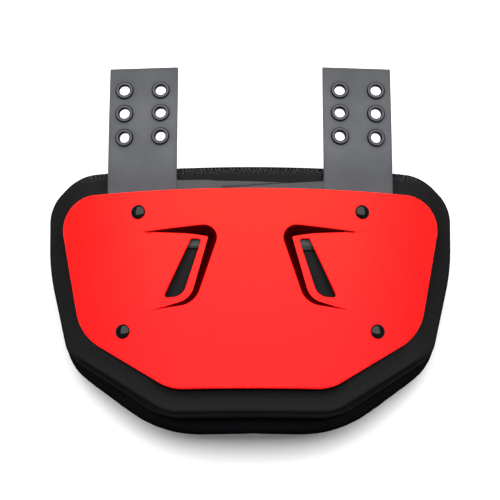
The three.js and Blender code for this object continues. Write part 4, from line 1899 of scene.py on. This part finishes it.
@dataclass
class Pad:
    """The mesh-covered cushion behind the foam, thicker towards the waist, bulging past the lip."""

    curl: Curl
    foam: Outline
    finish: MeshFabric = MeshFabric()
    swelling: Swelling = Swelling()
    front: float = -12.3
    back_top: float = -36.0
    back_bottom: float = -44.5
    bulge: float = 10.0
    slack: float = -0.2
    slack_share: float = 0.6
    sag: Fade = Fade(0.7, 1.0, 0.6)
    sag_width: Fade = Fade(60.0, 10.0)
    steps: int = 16
    filling: Filling = Filling(6.0, 3.5)
    # Where the cover is glued to the foam
    glue_height: Fade = Fade(4.0, 2.0)
    glue_inset: Fade = Fade(2.0, 12.0)
    # Shadow under the lip and below it
    lip_shade: Fade = Fade(2.0, 0.6, 0.7)
    lip_width: Fade = Fade(80.0, 62.0)
    under_shade: Fade = Fade(1.0, 12.0, 0.6)
    outline: Outline = Outline.mirrored(
        (
            Corner(70.0, -131.5, 100.0),
            Corner(146.5, -79.4, 42.0),
            Corner(167.5, -9.6, 160.0),
            Corner(167.5, 70.0, 52.0),
        ),
        3.0,
    )

    def place(self, points: Array) -> Array:
        """Where points of the pad lie: thickened towards the waist and curled."""
        x, y, z = points.T
        down = (self.outline.highest - y) / (self.outline.highest - self.outline.lowest)
        growth = (self.back_bottom - self.back_top) / (self.back_top - self.front)
        low = y - self.sag.at(down) * self.sag_width.at(np.abs(x))
        return self.curl.place(np.column_stack([x, low, z + (z - self.front) * growth * down]))

    def cover(self) -> bpy.types.Object:
        """The cover before it swells, a little smaller than the pad."""
        half = (self.front - self.back_top) / 2
        rings = []
        for turn in np.radians(np.linspace(90.0, -90.0, self.steps + 1)):
            loop = self.outline.loop(self.slack + self.bulge * (1.0 - math.cos(turn)))
            z = self.front - half + (half - self.slack_share * self.slack) * math.sin(turn)
            rings.append(at_height(loop, z))
        rim = rings[0][:, :2]
        sheet = Sheet.cut([rim], [], self.filling.points(rim, rim))
        high, low = (flat_face(ring[0, 2]) for ring in (rings[0], rings[-1]))
        return sheet.solid("pad", high, low, self.place, rings[1:-1])

    def settled(self, points: Array) -> Array:
        """The swollen points, flat where they meet the foam and the surface that the part rests on."""
        plan = self.curl.unbent(points)
        plan[:, 2] = np.minimum(plan[:, 2], self.front)
        points = self.curl.place(plan)
        points[:, 2] = np.maximum(points[:, 2], 0.0)
        return points

    def swollen(self) -> bpy.types.Object:
        """The cover filled, settled and smoothed."""
        piece = self.cover()
        remesh = piece.modifiers.new("remesh", "REMESH")
        remesh.mode = "VOXEL"
        remesh.voxel_size = self.swelling.voxel * MM
        apply_modifiers(piece)
        plan = self.curl.unbent(positions(piece.data))
        glued = self.glue_height.at(self.front - plan[:, 2])
        glued *= self.glue_inset.at(self.foam.within(plan[:, :2]))
        self.swelling.swell(piece, glued)
        move_points(piece.data, self.settled(positions(piece.data)))
        smooth = piece.modifiers.new("smooth", "SUBSURF")
        smooth.levels = smooth.render_levels = 1
        apply_modifiers(piece)
        move_points(piece.data, self.settled(positions(piece.data)))
        for face in piece.data.polygons:
            face.use_smooth = True
        return piece

    def build(self) -> list[bpy.types.Object]:
        """Builds the pad and dresses it."""
        piece = self.swollen()
        plan = self.curl.unbent(positions(piece.data))
        below = self.front - plan[:, 2]
        covered = self.lip_shade.at(below) * self.lip_width.at(np.abs(plan[:, 0]))
        keep_mark(piece.data, "shade", np.maximum(covered, self.under_shade.at(below)))
        keep_weave(piece.data, plan)
        piece.data.materials.clear()
        piece.data.materials.append(self.finish.material())
        declared(piece, Slot.MESH, "back_pad")
        return [piece]


@dataclass
class Rivets:
    """The four domed rivets that hold shell, straps and foam together."""

    curl: Curl
    hardware: TurnedShape
    finish: RivetPlastic = RivetPlastic()
    seat: float = 9.15
    head: float = 5.4
    brim: float = 0.5
    dome: float = 1.9
    shank: float = 2.2
    washer: float = 5.0
    washer_thick: float = 1.2
    washer_ease: float = 0.3
    head_ease: tuple[float, float] = (0.25, 0.2)
    dome_steps: int = 9
    anvil: float = -12.6
    sides: int = 40
    spots: tuple[tuple[str, float, float], ...] = (("top", 81.6, 29.7), ("bottom", 91.2, -60.0))

    def profile(self) -> Array:
        """Radius, height and crown from the washer's middle to the top of the head."""
        low = self.anvil - self.washer_thick
        points = [
            (0.0, low, 0.0),
            (self.washer - self.washer_ease, low, 0.0),
            (self.washer, low + self.washer_ease, 0.0),
            (self.washer, self.anvil, 0.0),
            (self.shank, self.anvil, 0.0),
            (self.shank, self.seat, 0.0),
            (self.head - self.head_ease[0], self.seat, 0.0),
            (self.head, self.seat + self.head_ease[1], 0.0),
        ]
        for turn in np.radians(np.linspace(0.0, 90.0, self.dome_steps)):
            height = self.seat + self.brim + self.dome * math.sin(turn)
            points.append((self.head * math.cos(turn), height, math.sin(turn)))
        return np.array(points)

    def build(self) -> list[bpy.types.Object]:
        """Builds the rivets and dresses them."""
        seats, nodes = [], []
        for side in Side:
            for name, x, y in self.spots:
                seats.append(Seat.on(self.curl.place, side.value * x, y, 0.0))
                nodes.append(f"rivet_{name}_{side.label}")
        material = self.finish.material()
        piece = self.hardware.turned("rivets", seats, self.profile(), False, self.sides, material)
        return [declared(piece, Slot.RIVET, *nodes)]


@dataclass(frozen=True)
class SoftBox:
    """A plain rectangular studio light."""

    name: str
    place: tuple[float, float, float]
    aim: tuple[float, float, float]
    size: tuple[float, float]
    power: float

    def build(self) -> bpy.types.Object:
        """Links the light."""
        light = bpy.data.lights.new(self.name, "AREA")
        light.shape = "RECTANGLE"
        light.size, light.size_y = self.size
        light.energy = self.power
        lamp = linked(self.name, light)
        lamp.location = self.place
        lamp.rotation_euler = (Vector(self.aim) - Vector(self.place)).to_track_quat("-Z", "Y").to_euler()
        return lamp


@dataclass
class Studio:
    """The pale floor, the soft light and the camera, which looks down on the plate from its waist end."""

    curl: Curl
    finish: PaleFloor = PaleFloor()
    floor_size: float = 12.0
    floor_squares: int = 8
    floor_gap: float = 0.2
    distance: float = 1.02
    elevation: float = math.radians(75.0)
    sensor: float = 36.0
    lens: float = 99.92
    shift: tuple[float, float] = (-0.0004, 0.0017)
    ambient: float = 0.36
    boxes: tuple[SoftBox, ...] = (SoftBox("panel", (0.06, 1.8, 3.0), (0.06, 1.8, 0.0), (4.9, 4.3), 322.0),)

    def floor(self) -> bpy.types.Object:
        """A wide level floor under the part."""
        body = bmesh.new()
        squares = self.floor_squares
        bmesh.ops.create_grid(body, x_segments=squares, y_segments=squares, size=self.floor_size / 2)
        mesh = bpy.data.meshes.new("floor")
        body.to_mesh(mesh)
        body.free()
        mesh.materials.append(self.finish.material())
        floor = linked("floor", mesh)
        floor.location.z = -self.floor_gap * MM
        return floor

    def camera(self) -> bpy.types.Object:
        """The camera, on the plane that halves the part."""
        target = Vector((0.0, self.curl.shift * MM, self.curl.rise * MM))
        away = Vector((0.0, -math.cos(self.elevation), math.sin(self.elevation)))
        data = bpy.data.cameras.new("camera")
        data.sensor_width = self.sensor
        data.lens = self.lens
        data.shift_x, data.shift_y = self.shift
        camera = linked("camera", data)
        camera.location = target + away * self.distance
        camera.rotation_euler = (-away).to_track_quat("-Z", "Y").to_euler()
        return camera

    def build(self) -> None:
        """Sets the studio up round the part."""
        self.floor()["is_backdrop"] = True
        for box in self.boxes:
            box.build()
        scene = bpy.context.scene
        scene.camera = self.camera()
        scene.view_settings.view_transform = "Standard"
        world = bpy.data.worlds.new("studio")
        world.use_nodes = True
        graph = NodeGraph(world.node_tree)
        graph.tree.nodes.clear()
        sky = {"Color": srgb("ffffff"), "Strength": self.ambient}
        light = graph.node("ShaderNodeBackground", None, sky)
        graph.node("ShaderNodeOutputWorld", None, {"Surface": light.outputs[0]})
        scene.world = world


def plain(bounds: Sequence[Sequence[float]]) -> list[list[float]]:
    """A box as plain lists of numbers."""
    return [[float(value) for value in corner] for corner in bounds]


def main() -> None:
    """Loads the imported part, builds each sub-assembly in turn and reports its pieces."""
    logging.basicConfig(level=logging.INFO, format="%(name)s: %(message)s")
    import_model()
    packed = plain(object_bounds())
    curl = Curl.of_packed_part(front=Shell.front, bottom=Pad.outline.lowest)
    hardware = TurnedShape()
    shell = Shell(curl)
    straps = Straps(curl, hardware)
    foam = Foam(curl, shell, straps.shapes(), SweptShape())
    for part in (shell, straps, foam, Pad(curl, foam.outline), Rivets(curl, hardware)):
        for piece in part.build():
            piece.data.calc_loop_triangles()
            LOG.info("%s: %d triangles", piece.name, len(piece.data.loop_triangles))
    Studio(curl).build()
    {"cad": packed, "visual": plain(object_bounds())}


if __name__ == "__main__":
    main()
